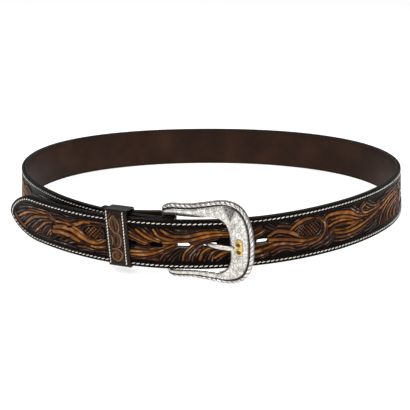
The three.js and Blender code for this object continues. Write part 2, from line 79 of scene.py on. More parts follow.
def trace_ring():
    """The strap's centre line and heading at every millimetre, closed where it passes the heel bar."""
    station = np.arange(0.0, STRAP_LENGTH + 2)
    turn = np.interp(station + 0.5, BENDS[:, 0], BENDS[:, 1]) / 1000
    heading = math.radians(HEEL_HEADING) - np.concatenate([[0], np.cumsum(turn[:-1])])
    chord = heading[:-1] - turn[:-1] / 2
    line = np.array(HEEL_START) + np.concatenate(
        [[[0, 0]], np.cumsum(np.stack([np.cos(chord), np.sin(chord)], 1), 0)])
    along = np.array([math.cos(heading[0]), math.sin(heading[0])])
    outward = np.array([-along[1], along[0]])
    offset = line - line[0]
    late = np.arange(len(line) - PASSING_STRETCH, len(line))
    passing = late[np.argmin(np.abs(offset[late] @ along))]
    miss = outward * OVERLAP_PITCH - offset[passing]
    line = line + miss * np.minimum(station / station[passing], 1)[:, None]
    return station, line, heading


RING_STATION, RING_LINE, RING_HEADING = trace_ring()


def read_rows(stops, places, rows):
    """The rows of a table, read between the places they stand at."""
    return np.stack([np.interp(stops, places, column) for column in rows.T], -1)


def ring_frame(s):
    """Middle, out of the face, up across and along the strap, at lengths s from the heel bar."""
    heading = np.interp(s, RING_STATION, RING_HEADING)
    lean = np.radians(np.interp(s, BENDS[:, 0], BENDS[:, 2]))[:, None]
    none, upright = np.zeros_like(s), np.ones_like(s)
    outward = np.stack([-np.sin(heading), np.cos(heading), none], 1)
    upward = np.stack([none, none, upright], 1)
    centre = np.concatenate(
        [read_rows(s, RING_STATION, RING_LINE), STRAP_WIDTH / 2 * np.cos(lean)], 1)
    out = outward * np.cos(lean) + upward * np.sin(lean)
    up = upward * np.cos(lean) - outward * np.sin(lean)
    return centre, out, up, np.stack([np.cos(heading), np.sin(heading), none], 1)


def fold_centre(distance):
    """The middle of the fold-back, inside the strap, at distances from the heel bar."""
    centre, out, _, _ = ring_frame(distance)
    return centre - out * np.interp(distance, FOLD_GAPS[:, 0], FOLD_GAPS[:, 1])[:, None]


def whole_frame():
    """The strap's frame from the end of the fold-back, round the heel bar, to the tip."""
    heel_centre, heel_out, heel_up, heel_along = (v[0] for v in ring_frame(np.zeros(1)))
    bar = heel_centre - heel_out * LOOP_RADIUS
    back = np.arange(FOLD_END - 1, -LOOP_LENGTH, 0.5)
    distance = -back - LOOP_LENGTH
    run = fold_centre(np.maximum(distance - 1, 0)) - fold_centre(distance + 1)
    run /= np.linalg.norm(run, axis=1)[:, None]
    up = ring_frame(distance)[2]
    parts = [(back, fold_centre(distance), np.cross(up, run), up)]
    turn = np.linspace(-LOOP_LENGTH, -0.25, 40)
    angle = (turn / LOOP_RADIUS)[:, None]
    out = heel_out * np.cos(angle) + heel_along * np.sin(angle)
    parts.append((turn, bar + out * LOOP_RADIUS, out, np.broadcast_to(heel_up, out.shape)))
    ring = np.arange(0, STRAP_LENGTH + 0.5, 0.5)
    parts.append((ring, *ring_frame(ring)[:3]))
    s, centre, out, up = (np.concatenate([part[k] for part in parts]) for k in range(4))
    turned = np.array(REST.to_3x3())
    return s, (centre * MM) @ turned.T + np.array(REST.translation), out @ turned.T, up @ turned.T


TABLE_S, TABLE_CENTRE, TABLE_OUT, TABLE_UP = whole_frame()


def strap_point(s, across, depth):
    """World points at lengths s, heights across from the middle and depths out of it, all in mm."""
    centre, up, out = (read_rows(s, TABLE_S, table) for table in (TABLE_CENTRE, TABLE_UP, TABLE_OUT))
    return centre + MM * (up * np.asarray(across)[..., None] + out * np.asarray(depth)[..., None])


TIP_LENGTH = 35.0
TIP_FULLNESS = 1.65
TIP_SAG = 2.4


def strap_edges(s):
    """Heights of the lower and the upper edge from the middle, rounded off at both ends."""
    share = np.clip((STRAP_LENGTH - s) / TIP_LENGTH, 0, 1)
    half = STRAP_WIDTH / 2 * (1 - (1 - share) ** TIP_FULLNESS) ** (1 / TIP_FULLNESS)
    sag = TIP_SAG / 2 * (1 + np.cos(math.pi * share))
    short = np.maximum(FOLD_CORNER + FOLD_END - s, 0)
    corner = FOLD_CORNER - np.sqrt(np.maximum(FOLD_CORNER ** 2 - short ** 2, 0))
    return corner - half - sag, half - sag - corner


def strap_outline(inset=0.0):
    """The strap's edge as points (s, height from the lower edge), all round, moved in by inset."""
    tip = STRAP_LENGTH - TIP_LENGTH * (1 - np.sin(np.linspace(0, math.pi / 2, 90)))
    corner = FOLD_END + FOLD_CORNER * (1 - np.cos(np.linspace(0, math.pi / 2, 16)))
    straight = np.arange(FOLD_END + FOLD_CORNER + 1, STRAP_LENGTH - TIP_LENGTH, 2.0)
    s = np.concatenate([corner, straight, tip])
    lower, upper = strap_edges(s)
    line = np.concatenate([np.stack([s, lower], 1), np.stack([s, upper], 1)[::-1]])
    line[:, 1] += STRAP_WIDTH / 2
    run = np.gradient(line, axis=0)
    inward = np.stack([-run[:, 1], run[:, 0]], 1)
    inward /= np.maximum(np.linalg.norm(inward, axis=1), 1e-9)[:, None]
    return line + inward * inset


OUTLINE = strap_outline()


def mesh_of(bm, name):
    """A finished bmesh as a mesh."""
    mesh = bpy.data.meshes.new(name)
    bm.to_mesh(mesh)
    bm.free()
    return mesh


def add_piece(name, mesh):
    """A mesh as an object in the scene."""
    piece = bpy.data.objects.new(name, mesh)
    bpy.context.scene.collection.objects.link(piece)
    return piece


def channels(*values):
    """Three values, or one in all three channels, as colours."""
    return np.stack([*(values * 3)[:3], np.ones(values[0].shape)], -1)


def loft(name, points, joined=False, marks=None):
    """A skin over rings of points, an array of ring x point x 3, closed round each ring. marks are
    values of a named colour attribute, an array of ring x point x 4."""
    rings, count = points.shape[:2]
    spans = rings if joined else rings - 1
    bm = bmesh.new()
    bmesh.ops.create_grid(bm, x_segments=spans, y_segments=count, size=1)
    mesh = bpy.data.meshes.new(name)
    bm.to_mesh(mesh)
    flat = np.zeros(len(mesh.vertices) * 3, np.float32)
    mesh.vertices.foreach_get("co", flat)
    flat = flat.reshape(-1, 3)
    ring = np.rint((flat[:, 0] + 1) / 2 * spans).astype(int) % rings
    point = np.rint((flat[:, 1] + 1) / 2 * count).astype(int) % count
    mesh.vertices.foreach_set("co", points[ring, point].astype(np.float32).ravel())
    for key, values in (marks or {}).items():
        layer = mesh.attributes.new(key, "FLOAT_COLOR", "POINT")
        layer.data.foreach_set("color", values[ring, point].astype(np.float32).ravel())
    bm.clear()
    bm.from_mesh(mesh)
    seam = [v for v in bm.verts if v.is_boundary]
    bmesh.ops.remove_doubles(bm, verts=seam, dist=1e-7)
    if not joined:
        rim = [e for e in bm.edges if e.is_boundary]
        caps = bmesh.ops.holes_fill(bm, edges=rim, sides=0)["faces"]
        for face in caps:
            for edge in face.edges:
                edge.smooth = False
    bmesh.ops.recalc_face_normals(bm, faces=bm.faces)
    for face in bm.faces:
        face.smooth = True
    bm.to_mesh(mesh)
    bm.free()
    return add_piece(name, mesh)


def cut_with(piece, cutters, operation="DIFFERENCE"):
    """Cuts the cutters out of a piece, or fuses them to it, and removes them."""
    for cutter in cutters:
        modifier = piece.modifiers.new("cut", "BOOLEAN")
        modifier.operation = operation
        modifier.solver = "EXACT"
        modifier.object = cutter
    graph = bpy.context.evaluated_depsgraph_get()
    graph.update()
    mesh = bpy.data.meshes.new_from_object(piece.evaluated_get(graph))
    piece.modifiers.clear()
    piece.data = mesh
    for cutter in cutters:
        bpy.data.objects.remove(cutter)
    return piece


def placed(x, y, z, at):
    """A matrix from its three axes and its place."""
    return Matrix([*zip(x, y, z, at), (0, 0, 0, 1)])


def square_to_strap(s, height):
    """A matrix at a length s and a height: x against the strap's run, y up across it, z out of it."""
    out, up = read_rows(s, TABLE_S, TABLE_OUT), read_rows(s, TABLE_S, TABLE_UP)
    out /= np.linalg.norm(out)
    up -= out * (up @ out)
    up /= np.linalg.norm(up)
    return placed(np.cross(up, out), up, out, strap_point(s, height - STRAP_WIDTH / 2, 0))


def round_ended(length, width, thickness, segments, axis):
    """A flat block with round ends, lengthwise along x (axis 0) or y (axis 1)."""
    bm = bmesh.new()
    bmesh.ops.create_circle(bm, cap_ends=True, segments=segments, radius=width / 2)
    for v in bm.verts:
        v.co[axis] += math.copysign((length - width) / 2, v.co[axis])
    top = bmesh.ops.extrude_face_region(bm, geom=list(bm.faces))["geom"]
    top = [v for v in top if isinstance(v, bmesh.types.BMVert)]
    bmesh.ops.translate(bm, verts=top, vec=(0, 0, thickness))
    return bm


def punch(name, length, height, through, place):
    """A cutter with a round-ended outline, square to the strap: a slot, or a round hole."""
    bm = round_ended(length, height, through, 24, 0)
    bmesh.ops.translate(bm, verts=bm.verts, vec=(0, 0, -through / 2))
    bmesh.ops.scale(bm, verts=bm.verts, vec=(MM, MM, MM))
    bmesh.ops.transform(bm, verts=bm.verts, matrix=place)
    bmesh.ops.recalc_face_normals(bm, faces=bm.faces)
    return add_piece(name, mesh_of(bm, name))


# Prong slots along the free end, from the one nearest the buckle, and the other openings
SLOT_LENGTH, SLOT_HEIGHT, SLOT_PITCH, SLOT_NEAREST, SLOTS = 10.0, 3.8, 19.05, 941.3, 6
STUD_STATION, STUD_HEIGHTS, STUD_HOLE = 53.0, (9.5, 28.5), 4.5
NOTCH_LENGTH, NOTCH_HEIGHT, NOTCH_ENDS = 19.0, 5.6, 0.8


def slot_cutters(first=0, last=SLOTS):
    places = [square_to_strap(SLOT_NEAREST + i * SLOT_PITCH, STRAP_WIDTH / 2)
              for i in range(first, last)]
    return [punch("slot_cutter", SLOT_LENGTH, SLOT_HEIGHT, 12, place) for place in places]


def heel_cutters():
    bar = square_to_strap(0, STRAP_WIDTH / 2) @ Matrix.Translation((0, 0, -LOOP_RADIUS * MM))
    notch = punch("notch_cutter", NOTCH_LENGTH, NOTCH_ENDS, 6 * LOOP_RADIUS, Matrix.Identity(4))
    notch.data.transform(Matrix.Diagonal((1, NOTCH_HEIGHT / NOTCH_ENDS, 1, 1)))
    notch.data.transform(bar)
    studs = [punch("stud_cutter", STUD_HOLE, STUD_HOLE, 20, square_to_strap(STUD_STATION, height))
             for height in STUD_HEIGHTS]
    return [notch, *studs]


# Western floral tooling. Each row: tone, width in mm, then points (length, height from the lower
# edge) along a cut and rounded strand. Strands lower in a list lie over the ones before.
GOLD, RUSSET, UMBER, HOLLOW = 1.0, 0.6, 0.25, -1.0
TIP_FAN = [
    (UMBER, 2.2, (1150, 25.5), (1138, 29), (1124, 30.5), (1110, 31)),
    (RUSSET, 2.0, (1160.6, 18), (1154, 12.6), (1143.7, 7.8)),
    (GOLD, 2.6, (1145, 21.5), (1135, 26.4), (1122, 28.2), (1110, 28.6)),
    (GOLD, 2.6, (1154.4, 16.8), (1145, 21.4), (1135, 25.0), (1122, 26.6)),
    (GOLD, 2.8, (1147, 11.4), (1137.5, 18), (1127.5, 22.7), (1112, 25.8)),
    (RUSSET, 2.4, (1136, 11.7), (1128.7, 17), (1120, 22), (1109, 24.2)),
    (GOLD, 2.4, (1132.5, 9), (1125.5, 13.8), (1116, 20.3), (1108, 22.4)),
    (RUSSET, 2.2, (1122.5, 10.6), (1115.5, 17), (1108, 20.3)),
    (GOLD, 2.0, (1117, 9.5), (1112, 14.5), (1106, 17.6)),
    (UMBER, 2.0, (1128, 7.2), (1120, 7.6), (1110, 8.2)),
]
LEAF = [
    (RUSSET, 2.6, (1112, 30.6), (1107, 27.8), (1102, 22)),
    (UMBER, 2.4, (1108, 31), (1103, 30.6), (1098, 31.4)),
    (UMBER, 2.2, (1110, 6.8), (1100, 7.2), (1092, 7.0), (1084, 6.4)),
    (UMBER, 2.2, (1066, 7.2), (1058, 8.4), (1049, 7.2)),
    (RUSSET, 2.2, (1072, 31), (1064, 31.4), (1056, 30.8)),
    (UMBER, 2.2, (1100, 32), (1095, 30), (1088, 29.6), (1080, 31)),
    (RUSSET, 2.4, (1083, 8.2), (1076, 9.0), (1068, 8.2)),
    (GOLD, 3.0, (1089, 25.4), (1081.7, 26.5), (1075, 29.6), (1069, 30)),
    (GOLD, 2.4, (1070, 11), (1064, 11), (1057, 12.8)),
    (RUSSET, 2.6, (1096, 9.5), (1090, 12.4), (1079, 14), (1068, 14.4)),
    (GOLD, 3.2, (1104, 12.5), (1096, 15.8), (1086, 16.6), (1075, 14.6)),
    (GOLD, 5.0, (1108, 15), (1099, 16.8), (1090, 15.4), (1081, 12.6)),
    (GOLD, 4.6, (1106, 19), (1097, 21.4), (1086, 20.8), (1076, 16.2), (1066, 14.4), (1057, 17.8)),
    (GOLD, 2.6, (1103, 24.6), (1092, 25.4), (1082, 22.8), (1073, 18.2), (1063, 16)),
    (RUSSET, 2.2, (1100, 28.6), (1090, 27.8), (1084, 29)),
    (HOLLOW, 0.9, (1100, 18), (1094, 17.7), (1087, 18), (1081, 16)),
    (HOLLOW, 1.1, (1098, 11), (1093.5, 13), (1088.5, 14.6)),
    (HOLLOW, 1.9, (1106, 9.4), (1103.5, 10.6), (1101, 12)),
    (HOLLOW, 1.9, (1091, 22.4), (1088, 23.4), (1085.5, 24.3)),
    (HOLLOW, 1.6, (1077, 25.5), (1075.2, 26.4), (1073.5, 27.4)),
    (HOLLOW, 1.7, (1089, 8), (1086, 9.2), (1083, 10.5)),
]
FLOWER_A = (1067, 22.8, 9.6, 5.8)
KEEPER_SPRAY = [
    (UMBER, 2.4, (1056, 29.6), (1048, 31), (1041, 29)),
    (RUSSET, 2.4, (1055, 25.5), (1047, 27.6), (1040, 26)),
    (GOLD, 2.6, (1055, 13.6), (1047, 11), (1036, 12.2), (1022, 12.9), (1011, 16.4), (1003, 20)),
    (RUSSET, 2.4, (1054, 8.6), (1044, 8.4), (1034, 8.2), (1024, 9.4)),
    (GOLD, 2.6, (1038, 9.6), (1027, 10.2), (1019, 12.2), (1012, 15.4)),
    (RUSSET, 3.4, (1033, 15.6), (1025, 15.6), (1016, 17), (1008, 20)),
    (GOLD, 2.2, (1038.3, 25.5), (1031, 22.2), (1024, 19.6)),
    (RUSSET, 2.2, (1039, 28.8), (1032, 25), (1023, 20.6)),
    (GOLD, 2.3, (1032, 29.9), (1025, 24.6), (1015, 21)),
    (RUSSET, 2.2, (1027.6, 30.8), (1021, 25.4), (1014.5, 22.8), (1006, 21.8)),
    (GOLD, 2.4, (1019.4, 30.6), (1015.5, 25.6), (1007, 23), (998, 23.4), (989, 25.4)),
    (GOLD, 3.0, (1014, 30.6), (1006, 26.2), (997, 25.9), (987, 28), (976, 29), (965, 27.6)),
    (GOLD, 2.6, (1013, 20.5), (1004, 21.3), (994, 22.8), (984, 25.6), (974, 27), (962, 26.2)),
    (HOLLOW, 0.8, (1029, 16.2), (1023, 16), (1017, 18)),
    (HOLLOW, 0.8, (1003, 25), (994, 24.6), (984, 27)),
]
WINDOW_SPRAY = [
    (UMBER, 2.2, (1004, 30.8), (994, 30.4), (984, 31.6)),
    (UMBER, 2.0, (972, 31.4), (962, 31.8), (952, 31.2)),
    (UMBER, 2.0, (996, 9), (991, 14), (986, 16)),
    (RUSSET, 2.2, (1030, 6.8), (1022, 7.2), (1015, 6.8)),
    (RUSSET, 2.2, (1015, 7.6), (1012, 12), (1006, 15.4), (999, 19)),
    (UMBER, 2.0, (1009, 7.2), (1005, 11.8), (999, 17)),
    (GOLD, 2.2, (999, 7.2), (997.5, 13), (992, 19), (984, 23), (974, 25.2)),
    (RUSSET, 2.0, (994.6, 7.4), (993, 12), (987, 18.4), (980, 21)),
    (GOLD, 3.0, (986.7, 7.8), (984.6, 13), (979, 16.8), (971, 18.4)),
    (RUSSET, 2.2, (980.6, 7.8), (977.6, 13.4), (970, 16)),
    (GOLD, 2.6, (976, 9), (970, 12.6), (963, 13.2)),
    (UMBER, 2.2, (966, 8), (960, 10.4), (953, 10.6)),
    (RUSSET, 2.4, (965, 20), (957, 17.4), (950, 13)),
    (GOLD, 2.4, (962, 24.2), (953, 23), (946, 24.8), (940, 28)),
    (RUSSET, 2.4, (960, 29), (951, 28), (943, 30.6)),
    (HOLLOW, 0.8, (985.4, 11), (981.6, 15), (975, 17.4)),
]
FINGERS = [
    (UMBER, 2.2, (940, 31), (935.6, 28.6), (930, 26.6)),
    (GOLD, 3.4, (956, 10), (947, 11.2), (938, 13.2), (928, 14.6)),
    (RUSSET, 2.6, (952, 7.2), (944, 7.6), (936, 9)),
    (GOLD, 3.0, (951, 16), (944, 16.6), (937, 18), (929, 18.4)),
    (RUSSET, 2.4, (930, 29.6), (925, 28.8), (918, 27.2)),
    (RUSSET, 2.6, (934, 9.4), (927, 12), (920, 11.6), (914, 8.6)),
    (GOLD, 2.4, (940.6, 12.6), (933, 14.8), (924, 15), (914, 12.8), (905, 13)),
    (GOLD, 2.8, (937, 19.6), (929, 18.8), (918, 17), (906, 14.4), (894, 14.8)),
    (GOLD, 3.4, (937, 22.6), (930, 25.4), (920, 23), (910, 18.2), (898, 15.6)),
    (GOLD, 2.8, (919, 25), (914, 28.6), (906, 31), (899, 30.6)),
    (RUSSET, 2.2, (914, 10.8), (904, 11.2), (893.8, 13.6)),
    (GOLD, 2.6, (902, 10.2), (893, 12.6), (888, 18), (888.4, 25), (897, 30.6)),
    (RUSSET, 2.4, (899, 8.2), (889, 10.8), (881, 16), (878, 21)),
    (UMBER, 2.2, (888, 7.2), (882, 10), (877, 13.4)),
    (HOLLOW, 1.0, (926, 23), (921, 21.4), (916, 19.3), (911, 17.4)),
]
FLOWER_B = (902.2, 22.6, 11.0, 6.5)
EYE_LEAF = [
    (RUSSET, 2.6, (877.5, 11.4), (868, 9.8), (856, 10), (843, 12.2), (829, 17)),
    (GOLD, 2.8, (877, 15), (867, 13), (855, 13.2), (840, 15.8), (820, 20.8)),
    (GOLD, 2.6, (884, 21), (875, 23.4), (863, 22.6), (853, 19), (845, 17.6)),
    (GOLD, 2.6, (881, 25.8), (869, 26), (859, 23.4), (848.8, 19.4)),
    (GOLD, 3.4, (888.5, 26.5), (884, 29.8), (872, 29.6), (860, 27), (849, 22.6), (838, 20.2)),
    (RUSSET, 2.4, (860, 30.6), (852, 26), (840, 21.8)),
    (GOLD, 2.4, (840, 30.4), (845.6, 27), (842, 23.2), (832, 22.8), (818, 24)),
    (RUSSET, 2.4, (840, 31), (832.5, 27), (826, 25.4), (816, 26)),
    (UMBER, 2.4, (842, 8), (834, 9), (826, 12), (820, 16)),
    (GOLD, 5.8, (880, 18.4), (872, 18.0), (864, 17.5), (857, 17.4), (850, 17.8)),
    (HOLLOW, 3.4, (876.5, 18.4), (871, 18), (865, 17.5), (860, 17.3)),
]
FEATHERS = [
    (UMBER, 2.4, (808, 31), (798, 31.4), (786, 31)),
    (RUSSET, 2.6, (826, 24.9), (812, 26.2), (796, 29), (779, 29.6)),
    (GOLD, 2.6, (830, 18), (815, 21.4), (800, 25.4), (782, 27.2)),
    (GOLD, 2.4, (820, 8), (815, 16), (805, 21), (794, 24), (778, 25.2)),
    (RUSSET, 2.4, (813, 7.6), (809, 15), (800, 19.4), (776, 23.2)),
    (GOLD, 2.4, (805.6, 7.6), (803, 14), (793, 18.4), (774, 21.6)),
    (RUSSET, 2.2, (800, 7.4), (796, 13.4), (788, 16.8), (774, 19)),
    (GOLD, 2.4, (791, 7.2), (786, 12.6), (777, 16)),
    (RUSSET, 2.2, (782, 7.2), (777, 11.4), (769, 13.4)),
]
# Rows of round hollows: the first one's place, the step to the next, how many, radius
DOT_ROWS = [((857, 17.6), (-2.2, 0.3), 9, 0.7), ((1029, 16), (-2.3, 0.35), 6, 0.65)]
# The set of motifs repeats at this length along the rest of the strap
REPEAT, REPEATS = 338.0, 5
BORDER, BORDER_GROOVE = 5.2, 0.45
STITCH_INSET, STITCH_CHANNEL = 2.4, 0.28
GROUND_DEPTH, RIDGE_RISE = 0.62, 0.12
BEAD_PITCH, BEAD_TONE, BEAD_RADIUS = 3.1, 0.72, 1.02
STRAND_STEP = 0.8


def curve_between(a, b, c, d, t):
    """A smooth curve from b to c on a line that comes from a and goes on to d."""
    return 0.5 * (2 * b + (c - a) * t + (2 * a - 5 * b + 4 * c - d) * t ** 2
                  + (3 * b - a - 3 * c + d) * t ** 3)


def with_guides(rows):
    """Rows with one more at either end, straight on."""
    return np.concatenate([[2 * rows[0] - rows[1]], rows, [2 * rows[-1] - rows[-2]]])


def smooth_run(points):
    """A smooth line through a few points."""
    guide = with_guides(np.array(points, float))
    line = []
    for i in range(len(guide) - 3):
        steps = max(int(np.linalg.norm(guide[i + 2] - guide[i + 1]) / STRAND_STEP), 2)
        line.extend(curve_between(*guide[i:i + 4], (np.arange(steps) / steps)[:, None]))
    return np.array([*line, guide[-2]])


def nearest_on(line, spots):
    """Distance of each spot from a line, and the share of the line's length at the nearest place."""
    start, run = line[:-1], np.diff(line, axis=0)
    size = np.maximum((run ** 2).sum(1), 1e-12)
    offset = spots[:, None, :] - start[None]
    reach = np.clip((offset * run[None]).sum(2) / size, 0, 1)
    gap = np.linalg.norm(offset - reach[..., None] * run[None], axis=2)
    best = gap.argmin(1)
    rows = np.arange(len(spots))
    length = np.concatenate([[0], np.cumsum(np.sqrt(size))])
    share = (length[best] + reach[rows, best] * np.sqrt(size[best])) / length[-1]
    return gap[rows, best], share


class Tooling:
    """Relief and dye over a field of spots (length, height): carved strand by strand."""

    def __init__(self, length, height):
        self.spots = np.stack([length.ravel(), height.ravel()], 1)
        self.relief = np.full(len(self.spots), -GROUND_DEPTH)
        self.dye = np.zeros(len(self.spots))
        self.tone = np.full(len(self.spots), 0.3)

    def near(self, line, reach):
        low, high = line.min(0) - reach, line.max(0) + reach
        return np.flatnonzero(((self.spots > low) & (self.spots < high)).all(1))

    def strand(self, tone, width, *points):
        """A rounded strand with tapered ends and the bevelled cut beside it, or a hollow."""
        line = smooth_run(points)
        here = self.near(line, width)
        if not len(here):
            return
        gap, share = nearest_on(line, self.spots[here])
        half = width / 2 * (0.35 + 0.65 * np.sin(math.pi * np.clip(share * 0.86 + 0.12, 0, 1)) ** 0.7)
        side = gap / half
        if tone == HOLLOW:
            bed = np.clip(1.25 - side, 0, 1) ** 0.7
            self.relief[here] -= 0.5 * bed
            self.dye[here] *= 1 - np.clip(bed * 1.6, 0, 1)
            return
        cut = np.clip((side - 0.85) / 0.2, 0, 1) * np.clip((1.6 - side) / 0.25, 0, 1)
        bottom = np.minimum(self.relief[here], -GROUND_DEPTH - 0.1)
        self.relief[here] += cut * (bottom - self.relief[here])
        self.dye[here] *= 1 - 0.8 * cut
        on = side < 1
        crown = np.sqrt(np.clip(1 - side[on] ** 2, 0, 1))
        vein = 0.16 * np.exp(-(gap[on] / 0.28) ** 2) if width > 2.7 else 0
        self.relief[here[on]] = -GROUND_DEPTH + (GROUND_DEPTH + RIDGE_RISE) * crown ** 0.8 - vein
        self.dye[here[on]] = np.clip(crown * 1.35 - 0.3, 0, 1) - vein * 1.6
        self.tone[here[on]] = tone

    def echo(self, tone, width, *points):
        """The two lesser strands that flank a strand and fill the ground beside it."""
        points = np.array(points, float)
        run = np.gradient(points, axis=0)
        aside = np.stack([-run[:, 1], run[:, 0]], 1) / np.linalg.norm(run, axis=1)[:, None]
        for sense, below in ((1, RUSSET), (-1, UMBER)):
            fan = np.linspace(1.5, 0.75, len(points))[:, None]
            self.strand(min(below, tone), 1.7, *(points + sense * (width / 2 + 0.75) * fan * aside))

    def dome(self, centre, radius, tone):
        """A round bead, or a round hollow."""
        here = self.near(np.array([centre]), radius)
        gap = np.linalg.norm(self.spots[here] - np.array(centre), axis=1) / radius
        here, gap = here[gap < 1], gap[gap < 1]
        crown = np.sqrt(1 - gap ** 2)
        if tone == HOLLOW:
            self.relief[here] -= 0.4 * crown
            self.dye[here] *= 1 - crown
            return
        self.relief[here] = -GROUND_DEPTH + (GROUND_DEPTH + RIDGE_RISE) * crown
        self.dye[here] = np.clip(crown * 1.2 - 0.2, 0, 1)
        self.tone[here] = tone

    def flower(self, length, height, long, wide):
        """A flower centre: an egg-shaped field of beads in diagonal rows inside a raised rim."""
        around = np.linspace(0, 2 * math.pi, 40)
        narrow = 1 - 0.22 * np.cos(around)
        rim = np.stack([length + long * np.cos(around), height + wide * narrow * np.sin(around)], 1)
        here = self.near(rim, 0)
        offset = (self.spots[here] - np.array((length, height))) / np.array((long, wide))
        bed = here[(offset ** 2).sum(1) < 1]
        self.relief[bed], self.dye[bed] = -GROUND_DEPTH - 0.1, 0.1
        reach = int(long / BEAD_PITCH) + 1
        for i in range(-reach, reach + 1):
            for j in range(-reach, reach + 1):
                x, y = (i + j) * BEAD_PITCH / 2, (i - j) * BEAD_PITCH / 2
                egg = wide * (1 - 0.22 * x / long)
                if (x / (long - 1.2)) ** 2 + (y / (egg - 1.1)) ** 2 < 1:
                    self.dome((length + x, height + y), BEAD_RADIUS, BEAD_TONE)
        self.strand(UMBER, 1.6, *rim[::3], rim[1])

    def carve(self, motif, shift=0.0):
        """A motif's rows, the flanking strands first and the strands over them."""
        rows = [(tone, width, *[(s + shift, t) for s, t in points]) for tone, width, *points in motif]
        for row in rows:
            if row[0] != HOLLOW:
                self.echo(*row)
        for row in rows:
            self.strand(*row)

    def set_of_motifs(self, shift):
        for motif in (FEATHERS, EYE_LEAF, FINGERS, WINDOW_SPRAY, KEEPER_SPRAY, LEAF):
            self.carve(motif, shift)
        for length, height, long, wide in (FLOWER_A, FLOWER_B):
            self.flower(length + shift, height, long, wide)
        for (length, height), (step, rise), count, radius in DOT_ROWS:
            for k in range(count):
                self.dome((length + step * k + shift, height + rise * k), radius, HOLLOW)


def edge_gap(length, height):
    """How far spots lie inside the strap's outline."""
    gap = np.minimum(np.minimum(height, STRAP_WIDTH - height), length - FOLD_END)
    round_tip = length > STRAP_LENGTH - TIP_LENGTH - 8
    if round_tip.any():
        line = OUTLINE[OUTLINE[:, 0] > STRAP_LENGTH - TIP_LENGTH - 30]
        spots = np.stack([length[round_tip], height[round_tip]], 1)
        gap[round_tip] = np.concatenate(
            [nearest_on(line, part)[0] for part in np.array_split(spots, max(len(spots) // 4000, 1))])
    return gap


def section_along(stations, section):
    """Length, height across from the middle and depth where a section, given as rows of height from
    the lower edge and depth, stands at each station. It narrows where the strap is rounded off."""
    lower, upper = strap_edges(stations)
    across = lower[:, None] + (upper - lower)[:, None] * (section[:, 0] / STRAP_WIDTH)
    length = np.broadcast_to(stations[:, None], across.shape)
    return length, across, np.broadcast_to(section[:, 1], across.shape)


def tooled_ply(name, stations, pitch_across, cutters):
    """One stretch of the tooled ply, carved, with its edges rounded."""
    edge = [(0, PLY_GAP / 2), (0, 0.8), (0, 1.35), (0.08, 1.62), (0.28, 1.85), (0.6, 2.0)]
    rows = int(round((STRAP_WIDTH - 1.2) / pitch_across))
    face = [(x, 2.0) for x in np.linspace(0.6, STRAP_WIDTH - 0.6, rows + 1)[1:-1]]
    section = np.array(edge + face + [(STRAP_WIDTH - x, z) for x, z in edge[::-1]])
    length, across, depth = section_along(stations, section)
    height = across + STRAP_WIDTH / 2
    tooling = Tooling(length, height)
    tooling.carve(TIP_FAN)
    for k in range(REPEATS):
        tooling.set_of_motifs(-REPEAT * k)
    gap = edge_gap(length.ravel(), height.ravel())
    field = np.clip((gap - BORDER) / 0.7, 0, 1)
    groove = np.exp(-((gap - BORDER + 0.2) / 0.45) ** 2) * (1 - field)
    channel = np.exp(-((gap - STITCH_INSET) / 0.6) ** 2)
    relief = tooling.relief * field - BORDER_GROOVE * groove - STITCH_CHANNEL * channel
    depth = depth.ravel()
    depth = depth + np.where(depth > 1.9, relief, 0) * np.clip(gap / 0.8, 0, 1)
    marks = channels(tooling.dye * field, tooling.tone, 1 - field)
    points = strap_point(length, across, depth.reshape(across.shape))
    return cut_with(loft(name, points, marks={"tooling": marks.reshape(*across.shape, 4)}), cutters)


def even_run(start, end, pitch):
    """Stations at about a pitch from one to another."""
    return np.linspace(start, end, int((end - start) / pitch))


def fold_run(fold_steps, loop_steps):
    """Stations from the end of the fold-back, closer at its rounded corners, to the heel bar."""
    corner = FOLD_END + 0.04 + FOLD_CORNER * (1 - np.cos(np.linspace(0, math.pi / 2, 20)))
    return np.concatenate([
        corner, np.linspace(FOLD_END + FOLD_CORNER, -LOOP_LENGTH, fold_steps)[1:-1],
        np.linspace(-LOOP_LENGTH, 0, loop_steps)[:-1]])


def tip_run(steps):
    """Stations along the rounded tip, closer towards its end."""
    share = 1 - (1 - np.linspace(0, 1, steps)) ** 1.6
    return STRAP_LENGTH - TIP_LENGTH + (TIP_LENGTH - 0.06) * share


# The ply is made in four stretches, and more finely along the free end
MIDDLE_START, FREE_END_START, FREE_END_MIDDLE = 370.0, 822.0, 990.0
RING_PITCH, FREE_END_PITCH = 0.5, 0.36
heel_run = np.concatenate([fold_run(110, 60), even_run(0, MIDDLE_START, RING_PITCH)])
middle_run = even_run(MIDDLE_START, FREE_END_START, RING_PITCH)
window_run = even_run(FREE_END_START, FREE_END_MIDDLE, FREE_END_PITCH)
free_run = np.arange(FREE_END_MIDDLE, STRAP_LENGTH - TIP_LENGTH, FREE_END_PITCH)
strap_pieces = [
    tooled_ply("tooled_ply_heel", heel_run, RING_PITCH, heel_cutters()),
    tooled_ply("tooled_ply_middle", middle_run, RING_PITCH, []),
    tooled_ply("tooled_ply_window", window_run, FREE_END_PITCH, slot_cutters(0, 3)),
    tooled_ply("tooled_ply_tip", np.concatenate([free_run, tip_run(120)[1:]]), FREE_END_PITCH,
               slot_cutters(3, SLOTS)),
]


